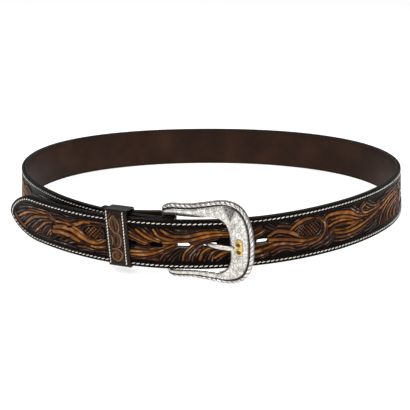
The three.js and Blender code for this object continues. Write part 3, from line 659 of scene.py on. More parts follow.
class Nodes:
    """The nodes of a material or a group. Inputs are given as sockets, numbers or plain colours."""

    def __init__(self, tree):
        self.tree = tree

    def feed(self, socket, value):
        if isinstance(value, bpy.types.NodeSocket):
            self.tree.links.new(value, socket)
        else:
            socket.default_value = (*value, 1) if isinstance(value, tuple) else value

    def add(self, kind, **inputs):
        node = self.tree.nodes.new("ShaderNode" + kind)
        for name, value in inputs.items():
            self.feed(node.inputs[name], value)
        return node

    def noise(self, scale, detail=2.0, distortion=0.0, vector=None):
        if vector is None:
            vector = self.add("TexCoord").outputs["Object"]
        inputs = {"Vector": vector, "Scale": scale, "Detail": detail, "Distortion": distortion}
        return self.add("TexNoise", **inputs).outputs["Fac"]


class Look(Nodes):
    """A material with one principled shader."""

    def __init__(self, name, **sockets):
        self.material = bpy.data.materials.new(name)
        self.material.use_nodes = True
        super().__init__(self.material.node_tree)
        self.set(**sockets)

    def set(self, **sockets):
        """Feeds the shader's sockets."""
        for name, value in sockets.items():
            self.feed(self.tree.nodes["Principled BSDF"].inputs[name.replace("_", " ")], value)

    def marks(self, name):
        """The three channels of a colour attribute."""
        attribute = self.add("Attribute")
        attribute.attribute_name = name
        parts = self.add("SeparateColor")
        self.feed(parts.inputs[0], attribute.outputs["Color"])
        return parts.outputs

    def grain(self, scale, pebble):
        """The height and the patches of the leather's grain."""
        node = self.add("Group")
        node.node_tree = LEATHER_GRAIN
        self.feed(node.inputs["Scale"], scale)
        self.feed(node.inputs["Pebble"], pebble)
        return node.outputs["Height"], node.outputs["Patches"]

    def mix(self, factor, first, second, blend="MIX"):
        node = self.add("Mix")
        node.data_type, node.blend_type = "RGBA", blend
        for k, value in ((0, factor), (6, first), (7, second)):
            self.feed(node.inputs[k], value)
        return node.outputs[2]

    def ramp(self, source, *stops):
        """A colour ramp over a value. Each stop: position, and a grey or a colour."""
        node = self.add("ValToRGB")
        self.feed(node.inputs[0], source)
        while len(node.color_ramp.elements) < len(stops):
            node.color_ramp.elements.new(0.5)
        for element, (position, value) in zip(node.color_ramp.elements, stops):
            element.position = position
            element.color = (*(value if isinstance(value, tuple) else (value,) * 3), 1)
        return node.outputs[0]

    def bump(self, height, distance, strength):
        node = self.add("Bump", Height=height, Distance=distance, Strength=strength)
        self.set(Normal=node.outputs[0])


def leather_grain():
    """Leather grain: fine pebbles and soft unevenness, as a height and a mask."""
    group = bpy.data.node_groups.new("leather_grain", "ShaderNodeTree")
    for name, value in (("Scale", 1.0), ("Pebble", 0.5)):
        socket = group.interface.new_socket(name, in_out="INPUT", socket_type="NodeSocketFloat")
        socket.default_value = value
    for name in ("Height", "Patches"):
        group.interface.new_socket(name, in_out="OUTPUT", socket_type="NodeSocketFloat")
    tree = Nodes(group)
    given, wanted = group.nodes.new("NodeGroupInput"), group.nodes.new("NodeGroupOutput")
    grow = tree.add("VectorMath")
    grow.operation = "SCALE"
    tree.feed(grow.inputs[0], tree.add("TexCoord").outputs["Object"])
    tree.feed(grow.inputs["Scale"], given.outputs["Scale"])
    place = grow.outputs[0]
    pebble = tree.add("TexVoronoi", Vector=place, Scale=1400)
    pores = tree.noise(900, 4, vector=place)
    mixed = tree.add("Mix", Factor=given.outputs["Pebble"], A=pores, B=pebble.outputs["Distance"])
    tree.feed(wanted.inputs["Height"], mixed.outputs["Result"])
    tree.feed(wanted.inputs["Patches"], tree.noise(45, 5, vector=place))
    return group


def dress(piece, material):
    """Gives a piece its one material."""
    piece.data.materials.clear()
    piece.data.materials.append(material)


# Antiqued dark ground, russet and tan strands with a pale grey highlight painted on their crests,
# black burnished border
LEATHER_GRAIN = leather_grain()
look = Look("tooled_leather", Specular_IOR_Level=0.04, Coat_Roughness=0.2)
height, patches = look.grain(1.0, 0.6)
dye, tone, border = look.marks("tooling")
rub_streak_and_sheen_noise = look.noise(210, 3)
top = look.ramp(tone, (0.2, (0.024, 0.009, 0.004)), (0.6, (0.100, 0.031, 0.007)),
                (1.0, (0.335, 0.116, 0.008)))
mottled = look.ramp(patches, (0.36, (0.42, 0.34, 0.30)), (0.6, (1.1, 1.1, 1.1)))
streaks = look.ramp(rub_streak_and_sheen_noise, (0.36, (0.5, 0.40, 0.34)), (0.6, (1.1, 1.1, 1.1)))
top = look.mix(1.0, look.mix(0.8, top, mottled, "MULTIPLY"), streaks, "MULTIPLY")
# Painted highlight: where the strands' crests stand highest and the noise is high, their colour is
# mixed towards a pale grey sheen
painted_crest_sheen = look.add("Math")
painted_crest_sheen.operation = "MULTIPLY"
look.feed(painted_crest_sheen.inputs[0], look.ramp(dye, (0.82, 0.0), (1.0, 0.7)))
look.feed(painted_crest_sheen.inputs[1], look.ramp(rub_streak_and_sheen_noise, (0.56, 0.0), (0.66, 1.0)))
top = look.mix(painted_crest_sheen.outputs[0], top, (0.34, 0.27, 0.22))
ground = look.ramp(height, (0.25, (0.001, 0.0006, 0.0003)), (0.75, (0.005, 0.003, 0.0016)))
colour = look.mix(border, look.mix(dye, ground, top), (0.003, 0.0016, 0.001))
look.set(Base_Color=colour, Roughness=look.ramp(patches, (0.3, 0.34), (0.75, 0.5)),
         Coat_Weight=look.ramp(dye, (0.3, 0.0), (1.0, 0.3)))
look.bump(height, 0.00012, 0.6)
for piece in strap_pieces:
    dress(piece, look.material)
    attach(piece, "root")
    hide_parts("strap_outer")

# The lining: a plain smooth ply of dark brown leather, glued and sewn to the back of the tooled
# ply, creased with a warm iron along both edges. Its rows lie close together at edges and creases.
rim_rows = np.array([0, 0.3, 0.8, 1.4, 1.9, 2.3, 2.7, 3.2])
rows = np.concatenate([rim_rows, np.linspace(4.5, 33.5, 24), STRAP_WIDTH - rim_rows[::-1]])
crease = 0.22 * np.exp(-((np.minimum(rows, STRAP_WIDTH - rows) - 2.3) / 0.5) ** 2)
corner = np.zeros(len(rows))
corner[[0, -1]], corner[[1, -2]] = 0.35, 0.08
back = np.stack([rows, -STRAP_THICKNESS / 2 + crease + corner], 1)
section = np.concatenate([back, [(STRAP_WIDTH, -PLY_GAP / 2), (0, -PLY_GAP / 2)]])
stations = np.concatenate([
    fold_run(40, 40), np.linspace(0, STRAP_LENGTH - TIP_LENGTH, 760)[:-1], tip_run(50)])
length, across, depth = section_along(stations, section)
worn = np.exp(-np.minimum(section[:, 0], STRAP_WIDTH - section[:, 0]) / 0.8)
marks = {"tooling": channels(np.broadcast_to(worn, across.shape))}
lining = loft("lining_ply", strap_point(length, across, depth), marks=marks)
cut_with(lining, heel_cutters() + slot_cutters())

look = Look("lining_leather", Specular_IOR_Level=0.1)
height, patches = look.grain(0.8, 0.35)
colour = look.ramp(patches, (0.3, (0.019, 0.0075, 0.004)), (0.5, (0.027, 0.011, 0.0055)),
                   (0.72, (0.040, 0.017, 0.009)))
look.set(Base_Color=look.mix(look.marks("tooling")[0], colour, (0.007, 0.005, 0.004)),
         Roughness=look.ramp(height, (0.3, 0.42), (0.8, 0.55)))
look.bump(height, 0.00008, 0.5)
dress(lining, look.material)
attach(lining, "root")
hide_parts("strap_lining")

# The stitching: waxed ivory thread, one row all along the edge, 2.4 mm in, a stitch every 3.56 mm,
# each a little slanted because the awl's holes are. It lies in the channel of the tooled ply.
STITCH_PITCH, STITCH_SIZE, STITCH_SLANT, STITCH_LEVEL = 3.56, (2.95, 0.84, 0.75), 14.0, 1.86


def length_along(line):
    """How far each point of a line lies from its start."""
    return np.concatenate([[0], np.cumsum(np.linalg.norm(np.diff(line, axis=0), axis=1))])


def thread_bead(length, width, height):
    """One stitch: a short plump length of thread."""
    bm = bmesh.new()
    bmesh.ops.create_uvsphere(bm, u_segments=6, v_segments=6, radius=0.5)
    bmesh.ops.rotate(bm, verts=bm.verts, cent=(0, 0, 0), matrix=Matrix.Rotation(math.pi / 2, 3, "Y"))
    for v in bm.verts:
        v.co.x = math.copysign(abs(v.co.x * 2) ** 0.75 / 2, v.co.x)
    bmesh.ops.scale(bm, verts=bm.verts, vec=(length * MM, width * MM, height * MM))
    bmesh.ops.recalc_face_normals(bm, faces=bm.faces)
    return mesh_of(bm, "stitch")


def repeated(name, pattern, matrices):
    """Copies of a small mesh joined into one piece."""
    shape = np.array([(*v.co, 1) for v in pattern.vertices])
    corners = np.concatenate([(shape @ np.array(m).T)[:, :3] for m in matrices])
    faces = [tuple(v + k * len(shape) for v in p.vertices)
             for k in range(len(matrices)) for p in pattern.polygons]
    mesh = bpy.data.meshes.new(name)
    mesh.from_pydata(corners, [], faces)
    mesh.shade_smooth()
    return add_piece(name, mesh)


line = strap_outline(STITCH_INSET)
travel = length_along(line)
stops = np.arange(STITCH_PITCH, travel[-1] - STITCH_PITCH, STITCH_PITCH)
places = read_rows(stops, travel, line)
matrices = []
for (s, height), (ds, dh) in zip(places, read_rows(stops + 0.3, travel, line) - places):
    turn = Matrix.Rotation(math.atan2(dh, -ds) + math.radians(STITCH_SLANT), 4, "Z")
    matrices.append(square_to_strap(s, height) @ Matrix.Translation((0, 0, STITCH_LEVEL * MM)) @ turn)
stitching = repeated("stitching", thread_bead(*STITCH_SIZE), matrices)

look = Look("waxed_thread", Roughness=0.55, Sheen_Weight=0.3)
look.set(Base_Color=look.ramp(look.noise(160), (0.3, (0.66, 0.57, 0.44)), (0.6, (0.95, 0.91, 0.82))))
twist = look.add("TexWave", Vector=look.add("TexCoord").outputs["Object"], Scale=900)
look.bump(twist.outputs["Fac"], 0.00008, 0.5)
WAXED_THREAD = look.material
dress(stitching, WAXED_THREAD)
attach(stitching, "root")

# The keeper: a band of the same leather closed round the free end, the strap and its fold-back,
# tooled with a leaf on its face and sewn along both edges. Its faces other than the front are
# painted near-black as shade.
KEEPER_STATION, KEEPER_LENGTH, KEEPER_WALL = 1046.0, 17.5, 1.4
KEEPER_CLEARANCE, KEEPER_CORNER = 0.3, 2.4
KEEPER_DISTANCE, KEEPER_SPARE, KEEPER_RELIEF = 33.0, 2.5, 0.7
# For each millimetre behind the free end it hangs lower, and lies nearer to the tip
KEEPER_FALL, KEEPER_LAG = 0.18, 0.22
KEEPER_STITCH_ROWS = (3.3, 16.1)
KEEPER_STITCH_PITCH, KEEPER_STITCH_SIZE, KEEPER_STITCH_SLANT = 2.35, (2.2, 0.85, 0.6), 16.0
KEEPER_LEAVES = [
    (UMBER, 2.6, (14.8, 27), (14.2, 20), (14.8, 12)),
    (UMBER, 2.6, (5.2, 38), (4.8, 31), (5.2, 24)),
    (UMBER, 2.0, (4.9, 13), (4.7, 8), (5.8, 2)),
    (RUSSET, 5.4, (10.8, 38.5), (10.9, 35), (10.4, 30), (9, 26.6)),
    (RUSSET, 5.6, (10.2, 26), (9.4, 23), (9.4, 18), (10.8, 13.8)),
    (RUSSET, 5.2, (10, 13.5), (10, 10), (10, 7), (10, 3.4)),
    (GOLD, 1.7, (11, 39.4), (13.9, 35.4), (13.9, 30.4), (11, 26.6), (8, 26.6), (6.9, 30.4), (7.8, 35),
     (11, 39.4)),
    (GOLD, 1.7, (11.6, 26), (7.4, 25), (6, 20), (7.4, 15.4), (11, 13.4)),
    (GOLD, 1.5, (13.4, 23.6), (12.6, 19.6), (13.4, 16)),
    (GOLD, 1.7, (14, 12.6), (9.4, 13), (6, 10), (6.8, 5.8), (10, 3.4), (13.6, 5.6), (13.4, 9.4),
     (10.6, 10.4), (9, 8.4)),
    (HOLLOW, 1.5, (11, 35.6), (10.8, 32), (10, 28.8)),
    (HOLLOW, 2.1, (10, 23), (9.8, 20), (10.2, 16.8)),
]


def keeper_room(centre, out, up, shear):
    """Least and greatest depth and height of the three layers inside the keeper, with clearance."""
    half = KEEPER_LENGTH / 2 + KEEPER_SPARE
    fold_back = -LOOP_LENGTH - KEEPER_DISTANCE
    room = []
    for first, sense in ((KEEPER_STATION, 1), (KEEPER_DISTANCE, 1), (fold_back, -1)):
        lag = -KEEPER_LAG * ((strap_point(first, 0, 0) - centre) / MM) @ out
        for share in (-1, -0.5, 0, 0.5, 1):
            for across in (-STRAP_WIDTH / 2, STRAP_WIDTH / 2):
                for deep in (-STRAP_THICKNESS / 2, STRAP_THICKNESS / 2):
                    corner = strap_point(first + sense * (lag + share * half), across, deep)
                    offset = (corner - centre) / MM
                    room.append((offset @ out, offset @ up + offset @ out * shear))
    (low_x, low_y), (high_x, high_y) = np.min(room, 0), np.max(room, 0)
    return (low_x - KEEPER_CLEARANCE, high_x + KEEPER_CLEARANCE,
            low_y - KEEPER_CLEARANCE, high_y + KEEPER_CLEARANCE)


def round_corners(low_x, high_x, low_y, high_y, radius, setback, pitch):
    """A closed line round a room with rounded corners, clockwise from its upper corner outside."""
    line = []
    for cx, cy, first in (
            (high_x, high_y, 0), (high_x, low_y, -90), (low_x, low_y, 180), (low_x, high_y, 90)):
        mx = cx - math.copysign(setback, cx - (low_x + high_x) / 2)
        my = cy - math.copysign(setback, cy - (low_y + high_y) / 2)
        for i in range(9):
            angle = math.radians(first + 90 * (1 - i / 8))
            line.append((mx + radius * math.cos(angle), my + radius * math.sin(angle)))
    line = np.array([*line, line[0]])
    travel = length_along(line)
    return read_rows(np.linspace(0, travel[-1], int(travel[-1] / pitch))[:-1], travel, line)


def keeper_loop():
    """The keeper's band and its stitches."""
    centre = strap_point(KEEPER_STATION, 0, 0)
    place = square_to_strap(KEEPER_STATION, STRAP_WIDTH / 2)
    side, up, out = (np.array(place.col[k])[:3] for k in range(3))
    _, true_out, true_up, _ = ring_frame(np.array([KEEPER_STATION]))
    shear = true_out[0, 2] / true_up[0, 2] - KEEPER_FALL
    low_x, high_x, low_y, high_y = keeper_room(centre, out, up, shear)

    def world(width, x, y):
        """World points: how far along the free end, out of it and up it, in mm."""
        along = width - KEEPER_LENGTH / 2 + KEEPER_LAG * (high_x - x)
        return centre + MM * (side * -along + out * x + up * (y - x * shear))

    outside = round_corners(
        low_x, high_x, low_y, high_y, KEEPER_CORNER, KEEPER_CORNER - KEEPER_WALL, 0.4)
    run = np.roll(outside, -1, 0) - np.roll(outside, 1, 0)
    inward = np.stack([run[:, 1], -run[:, 0]], 1)
    inward /= np.linalg.norm(inward, axis=1)[:, None]
    edge = np.array([0.0, 0.12, 0.4])
    across = np.concatenate([
        edge, np.linspace(0.8, KEEPER_LENGTH - 0.8, 40), KEEPER_LENGTH - edge[::-1]])
    depth = np.zeros_like(across)
    depth[[0, -1]], depth[[1, -2]] = 0.45, 0.15
    section = np.concatenate([
        np.stack([across, depth], 1), [(KEEPER_LENGTH, KEEPER_WALL), (0, KEEPER_WALL)]])
    shape = (len(outside), len(section))
    width, sink = (np.broadcast_to(section[:, k], shape) for k in range(2))
    front = outside[:, 0] > high_x
    level = outside[:, 1] - low_y
    field = Tooling(width, np.broadcast_to(level[:, None], shape))
    field.carve(KEEPER_LEAVES)
    edge = np.minimum(width - KEEPER_STITCH_ROWS[0], KEEPER_STITCH_ROWS[1] - width)
    ends = np.minimum(level, level.max() - level)[:, None]
    inside = np.clip((edge - 1.1) / 0.5, 0, 1) * np.clip((ends - 2.2) / 1.0, 0, 1) * front[:, None]
    channel = sum(np.exp(-((width - row) / 0.4) ** 2) for row in KEEPER_STITCH_ROWS) * 0.22
    carved = channel - field.relief.reshape(shape) * KEEPER_RELIEF * inside
    sink = sink + (sink < 0.5) * carved
    flat = outside[:, None] + inward[:, None] * sink[..., None]
    points = world(width[..., None], flat[..., :1], flat[..., 1:])
    # Painted shade: off the front this mask and the dye are both 0, so those faces take the near-black
    # colour
    plain = (1 - inside) * front[:, None]
    marks = channels(field.dye.reshape(shape) * inside, field.tone.reshape(shape), plain)
    band = loft("keeper_band", points, joined=True, marks={"tooling": marks})
    matrices = []
    turn = Matrix.Rotation(math.radians(90 - KEEPER_STITCH_SLANT), 4, "Z")
    for row in KEEPER_STITCH_ROWS:
        for height in np.arange(2.0, level.max() - 1.4, KEEPER_STITCH_PITCH):
            nearest = np.abs(np.where(front, level - height, 99)).argmin()
            x = outside[nearest, 0] + inward[nearest, 0] * 0.12
            matrices.append(placed(side, up, out, world(row, x, low_y + height)) @ turn)
    return band, repeated("keeper_stitching", thread_bead(*KEEPER_STITCH_SIZE), matrices)


keeper, keeper_stitching = keeper_loop()

look = Look("keeper_leather", Specular_IOR_Level=0.09, Coat_Weight=0.06, Coat_Roughness=0.25)
height, patches = look.grain(1.0, 0.5)
dye, tone, plain = look.marks("tooling")
top = look.ramp(tone, (0.2, (0.040, 0.017, 0.007)), (0.6, (0.095, 0.042, 0.015)),
                (1.0, (0.205, 0.098, 0.042)))
band = look.ramp(patches, (0.3, (0.009, 0.0045, 0.003)), (0.7, (0.024, 0.011, 0.0065)))
# The near-black colour is the matted ground between the leaves on the front, and painted shade on
# every other face
look.set(Base_Color=look.mix(plain, look.mix(dye, (0.006, 0.0032, 0.0018), top), band),
         Roughness=look.ramp(patches, (0.3, 0.34), (0.75, 0.48)))
look.bump(height, 0.0001, 0.5)
dress(keeper, look.material)
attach(keeper, "root")
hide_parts("keeper_loop")
dress(keeper_stitching, WAXED_THREAD)
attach(keeper_stitching, "root")

# The buckle: a cast horseshoe in plated metal with a round heel bar behind the ends of its arms.
# Its outer edge is a twisted rope beside a dark groove, and its domed face is engraved.
END_BAR_INNER, FRAME_BACK, FRAME_CLEARANCE, FREE_END = 47.7, -1.5, 2.1, 175.0
HEEL_BAR_RADIUS, HEEL_BAR_LENGTH = 2.0, 48.0
ROPE_WIDTH, ROPE_PITCH = 3.2, 3.8
ASKEW_DEGREES, ASKEW_PIVOT, THINNING = 3.0, 33.0, 0.6
# Its outer edge stands above its middle and its window below it, at the heel bar and at the end bar
OUTER_RISE, WINDOW_FALL = (0.5, 1.65), (1.0, 0.8)
# Each row: outer x, outer y, inner x, inner y of the upper half, from the arm's end to the end bar
FRAME_ROWS = np.array([
    (-1.4, 25.0, 0.2, 22.2), (-0.6, 26.9, 0.6, 22.0), (2.2, 28.5, 2, 21.9), (6.6, 29.3, 7.5, 21.8),
    (13, 29.1, 13, 21.3), (20.5, 29.2, 19.5, 21.1), (28, 30.2, 26.5, 21.0), (35, 31.3, 33, 21.5),
    (41, 32.2, 38.6, 21.5), (47, 32.2, 42.4, 19.6), (53, 30.7, 45.6, 16), (58, 27.2, 47, 11.8),
    (61.8, 21, 47.6, 7.6), (64.4, 12, 47.7, 3.8), (65.4, 0, 47.7, 0)])
# Each row: kind of place, place, height of the section: r is from the rim, i a share from inside
FACE_ROWS = [
    ("i", 0.08, FRAME_BACK), ("r", 0.9, FRAME_BACK), ("r", 0.25, -1.3), ("r", 0, -0.9),
    ("r", -0.02, 0), ("r", 0, 0.9), ("r", 0.18, 1.5), ("r", 0.45, 1.95), ("r", 0.8, 2.25),
    ("r", 1.25, 2.45), ("r", 1.7, 2.5), ("r", 2.15, 2.4), ("r", 2.5, 2.15), ("r", 2.75, 1.75),
    ("r", 2.95, 1.35), ("r", 3.2, 1.15), ("r", 3.5, 1.3), ("r", 3.75, 1.75),
    *(("i", x, 2.62 - 0.72 * abs(x - 0.48) ** 2.2 / 0.48 ** 2.2) for x in np.linspace(0.88, 0.09, 46)),
    ("i", 0.055, 1.6), ("i", 0.02, 1.2), ("i", 0, 0.8), ("i", -0.004, -0.2), ("i", 0, -1.1),
    ("i", 0.03, -1.4)]
FRAME_STATIONS = 400


def buckle_place():
    """The buckle's frame: x from the heel bar to the end bar, y up the strap, z out of the face."""
    heel = square_to_strap(0, STRAP_WIDTH / 2)
    up, out = np.array(heel.col[1])[:3], np.array(heel.col[2])[:3]
    bar = np.array(heel.translation) - out * LOOP_RADIUS * MM
    s = np.arange(STRAP_LENGTH - FREE_END, STRAP_LENGTH - 400, -0.25)
    seat = (strap_point(s, 0, STRAP_THICKNESS / 2 + FRAME_CLEARANCE) - bar) / MM
    reach = np.linalg.norm(seat, axis=1)
    seat = seat[np.argmax(reach >= math.hypot(END_BAR_INNER, FRAME_BACK))]
    seat = seat - up * (seat @ up)
    turn = Matrix.Rotation(math.atan2(FRAME_BACK, END_BAR_INNER), 3, Vector(up))
    x = np.array(turn @ Vector(seat))
    x /= np.linalg.norm(x)
    return placed(x, up, np.cross(x, up), bar)


BUCKLE = buckle_place()
pivot = Matrix.Translation((ASKEW_PIVOT * MM, 0, 0))
CASTING = BUCKLE @ pivot @ Matrix.Rotation(math.radians(ASKEW_DEGREES), 4, "Z") @ pivot.inverted()


def smooth_rows(rows, place):
    """Rows of a table read on a smooth curve, at places counted in rows."""
    guide = with_guides(rows)
    k = np.minimum(place.astype(int), len(rows) - 2)
    return curve_between(*(guide[k + i] for i in range(4)), (place - k)[:, None])


def frame_edges():
    """The outer and inner edge of the frame from the end of the upper arm to that of the lower."""
    share = np.linspace(0, 1, FRAME_STATIONS)
    share = np.concatenate([share, share[-2::-1]])
    row = smooth_rows(FRAME_ROWS, share * (len(FRAME_ROWS) - 1))
    row[FRAME_STATIONS:, 1::2] *= -1
    for edge, (heel, end), sense in ((0, OUTER_RISE, 1), (2, WINDOW_FALL, -1)):
        row[:, edge + 1] += sense * (heel + (end - heel) * np.clip(row[:, edge] / END_BAR_INNER, 0, 1))
    return row[:, :2], row[:, 2:]


# The engraving: curls over the face, closer towards the end bar, and a patch of dark matting
CURL_PITCH, CURL_WIDTH, CURL_START = 4.6, 5.0, 22.0
ENGRAVED_WIDTH, ENGRAVED_DEPTH = 0.24, 0.08
LARGE_SCROLL = (40, 24.2), 3.4
PATCH_CORNERS = [(44.0, 30.6), (54.6, 28.4), (49.3, 17)]


def curl(centre, size, turn, sense):
    """A spiral line that winds in on its centre."""
    t = np.linspace(0, 1, 30)
    radius = size * (0.1 + 0.9 * t ** 0.85)
    angle = turn + sense * 2.5 * math.pi * t
    return np.array(centre) + np.stack([radius * np.cos(angle), radius * np.sin(angle)], 1)


def engraving(spots, inside, outside):
    """How deep the engraver's line is at each spot of the face, from 0 to 1."""
    travel = length_along((inside + outside) / 2)
    lines = []
    for n, stop in enumerate(np.arange(2.0, travel[-1] - 2, CURL_PITCH)):
        low, high = (read_rows(stop, travel, edge) for edge in (inside, outside))
        if low[0] < CURL_START:
            continue
        across = np.linalg.norm(high - low)
        count = max(int(round(across / CURL_WIDTH)), 1)
        lean = math.atan2(high[1] - low[1], high[0] - low[0])
        for k in range(count):
            centre = low + (high - low) * (k + 0.5 + 0.16 * (-1) ** n) / count
            sense = (-1) ** (n + k)
            size = min(0.52 * across / count, 0.62 * CURL_PITCH)
            lines.append(curl(centre, size, lean + n * 1.1 + k, sense))
            beside = centre + (high - low) * 0.45 / count
            lines.append(curl(beside, size * 0.4, lean - n * 1.7, -sense)[10:])
    lines.append(curl(*LARGE_SCROLL, 0.6, -1))
    depth = np.zeros(len(spots))
    for line in lines:
        near = ((spots > line.min(0) - 0.6) & (spots < line.max(0) + 0.6)).all(1)
        if near.any():
            gap = nearest_on(line, spots[near])[0]
            depth[near] = np.maximum(depth[near], np.exp(-(gap / ENGRAVED_WIDTH) ** 2))
    return depth


def in_patch(spots):
    """1 inside the matted triangle between the scrolls, 0 outside, with a soft edge."""
    corners = np.array(PATCH_CORNERS)
    inner = np.full(len(spots), 9.0)
    for a, b in zip(corners, np.roll(corners, -1, 0)):
        run = (b - a) / np.linalg.norm(b - a)
        inner = np.minimum(inner, (spots - a) @ np.array([run[1], -run[0]]))
    return np.clip(inner / 1.8 + 0.3, 0, 1)


def buckle_frame():
    outside, inside = frame_edges()
    width = np.linalg.norm(outside - inside, axis=1)
    shrink = np.minimum(width / (2.5 * ROPE_WIDTH), 1)
    groove = 1 - ROPE_WIDTH * shrink / width
    travel = length_along(outside)
    thin = 1 + (shrink - 1) * THINNING
    none = np.zeros(len(width))
    points, marks = [], []
    for kind, place, z in FACE_ROWS:
        reach = place * groove if kind == "i" else 1 - place * shrink / width
        spot = inside + (outside - inside) * reach[:, None]
        height, dark = none + z, none
        if kind == "r" and z > -1.2 and place < 2.9:
            lay = (travel - place * 1.15) / ROPE_PITCH
            rope = np.exp(-(np.sin(math.pi * lay) / 0.3) ** 2)
            height = height - 0.55 * rope * max(z - 0.7, 0) / 1.8
            pinch = 0.22 * rope * max(1.4 - place, 0) / 1.4
            spot = spot + (inside - outside) / width[:, None] * pinch[:, None]
            dark = np.clip(1.3 * rope, 0, 1)
        # The frame's outer side wall, below the face, is darkened all round
        if kind == "r" and place < 0.3 and z < 1.6:
            dark = np.maximum(dark, 0.75)
        if kind == "r" and place > 2.7:
            dark = none + 1
        if kind == "i" and 0.05 < place < 0.9:
            engraved = engraving(spot, inside, inside + (outside - inside) * groove[:, None])
            matted = in_patch(spot)
            height = height - ENGRAVED_DEPTH * np.maximum(engraved, 2 * matted)
            dark = np.maximum(0.62 * engraved, matted * (0.92 - 0.35 * engraved))
            # Painted shade: the face is darkened towards the window's inner edge
            dark = np.maximum(dark, 0.5 * np.clip(1 - place / 0.16, 0, 1))
        points.append(np.concatenate([spot, (height * thin)[:, None]], 1))
        marks.append(dark)
    marks = {"patina_and_painted_shade": channels(np.stack(marks, 1))}
    frame_piece = loft("buckle_casting", np.stack(points, 1) * MM, marks=marks)
    bm = bmesh.new()
    radius = HEEL_BAR_RADIUS * MM
    bmesh.ops.create_cone(
        bm, cap_ends=True, segments=32, radius1=radius, radius2=radius, depth=HEEL_BAR_LENGTH * MM)
    turn = Matrix.Rotation(math.pi / 2, 3, "X")
    bmesh.ops.rotate(bm, verts=bm.verts, cent=(0, 0, 0), matrix=turn)
    bar = add_piece("heel_bar", mesh_of(bm, "heel_bar"))
    bar.data.attributes.new("patina_and_painted_shade", "FLOAT_COLOR", "POINT")
    cut_with(frame_piece, [bar], "UNION")
    frame_piece.data.transform(CASTING)
    return frame_piece


casting = buckle_frame()

look = Look("silver_plate")
# Dark marks: patina in the rope, groove, engraving and matting, and painted shade along the window's
# inner edge and on the prong's shank
dark = look.marks("patina_and_painted_shade")[0]
cloud = look.noise(260, 6)
bright = look.ramp(cloud, (0.32, (0.46, 0.435, 0.405)), (0.5, (0.70, 0.672, 0.63)),
                   (0.66, (0.91, 0.882, 0.84)))
look.set(Base_Color=look.mix(dark, bright, (0.02, 0.018, 0.016)),
         Metallic=look.ramp(dark, (0.2, 0.92), (0.9, 0.2)),
         Roughness=look.ramp(cloud, (0.3, 0.36), (0.7, 0.22)))
look.bump(look.noise(700, 3, 1.5), 0.00015, 0.5)
SILVER_PLATE = look.material
dress(casting, SILVER_PLATE)
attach(casting, "root")
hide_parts("buckle_frame")

# The prong: a bowed finger of the same plated metal with an eye round the heel bar. It comes out
# through a slot of the free end, and its point rests in front of the end bar. Its shank behind
# the strap is painted dark as shade.
# Each row: x from the heel bar, y up, z out of the face, width, depth
PRONG_ROWS = np.array([
    (2.8, 0, -1.2, 4.4, 3.0), (8, 0, -1.6, 4.2, 2.8), (16, 0, -1.3, 3.8, 2.6), (22, 0, -1.2, 3.1, 2.4),
    (27, 0, -1.3, 2.8, 2.4), (29.5, 0, 0, 2.8, 2.5), (33, 0.05, 1.95, 2.9, 2.6),
    (37, 0.1, 3.4, 3.2, 2.6), (41.5, 0.1, 3.9, 3.6, 2.6), (46, -0.05, 3.9, 3.5, 2.5),
    (49.2, -0.25, 3.5, 2.9, 2.2), (50.6, -0.35, 3.3, 1.9, 1.4)])
PRONG_EYE_OUTER, PRONG_EYE_INNER, PRONG_EYE_WIDTH = 4.7, 2.75, 4.4
PRONG_FULLNESS = 0.85


def round_rims(bm, offset):
    """Rounds off the sharp edges of a bmesh."""
    rims = [e for e in bm.edges if e.calc_face_angle(0) > 0.8]
    bmesh.ops.bevel(
        bm, geom=rims, offset=offset, segments=2, profile=0.5, affect="EDGES", material=-1)


def buckle_prong():
    row = smooth_rows(PRONG_ROWS, np.linspace(0, len(PRONG_ROWS) - 1, 90))
    end = row[-1] * np.array([1, 1, 1, 0.45, 0.45]) + np.array([0.22, 0, -0.05, 0, 0])
    row = np.concatenate([row, [end]])
    slope = np.arctan2(np.gradient(row[:, 2]), np.gradient(row[:, 0]))[:, None]
    angle = 2 * math.pi * np.arange(24) / 24
    aside, deep = (np.sign(v) * np.abs(v) ** PRONG_FULLNESS for v in (np.cos(angle), np.sin(angle)))
    x, y, z, width, depth = (row[:, k:k + 1] for k in range(5))
    deep = deep[None] * depth / 2
    points = np.stack([
        x - deep * np.sin(slope), y + aside[None] * width / 2, z + deep * np.cos(slope)], -1) * MM
    # Painted shade: the shank from the heel bar to where it comes out of the slot is painted dark
    painted_shade_on_shank = np.clip((31.5 - points[..., 0] / MM) / 2, 0, 1)
    shank = loft("prong_finger", points, marks={"patina_and_painted_shade": channels(painted_shade_on_shank)})
    bm = bmesh.new()
    half = PRONG_EYE_WIDTH / 2
    corners = [(PRONG_EYE_INNER, -half), (PRONG_EYE_OUTER, -half), (PRONG_EYE_OUTER, half),
               (PRONG_EYE_INNER, half)]
    verts = [bm.verts.new((x * MM, y * MM, 0)) for x, y in corners]
    profile = [bm.edges.new((verts[i], verts[(i + 1) % 4])) for i in range(4)]
    bmesh.ops.spin(bm, geom=verts + profile, cent=(0, 0, 0), axis=(0, 1, 0), angle=2 * math.pi,
                   steps=40, use_merge=True)
    bmesh.ops.recalc_face_normals(bm, faces=bm.faces)
    round_rims(bm, 0.35 * MM)
    eye = add_piece("prong_eye", mesh_of(bm, "prong_eye"))
    eye.data.attributes.new("patina_and_painted_shade", "FLOAT_COLOR", "POINT")
    bore = 2 * PRONG_EYE_INNER
    cut_with(shank, [punch("prong_bore", bore, bore, 9, Matrix.Rotation(math.pi / 2, 4, "X"))])
    cut_with(shank, [eye], "UNION")
    shank.data.transform(BUCKLE)
    return shank


prong = buckle_prong()
dress(prong, SILVER_PLATE)
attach(prong, "root")
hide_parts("prong")

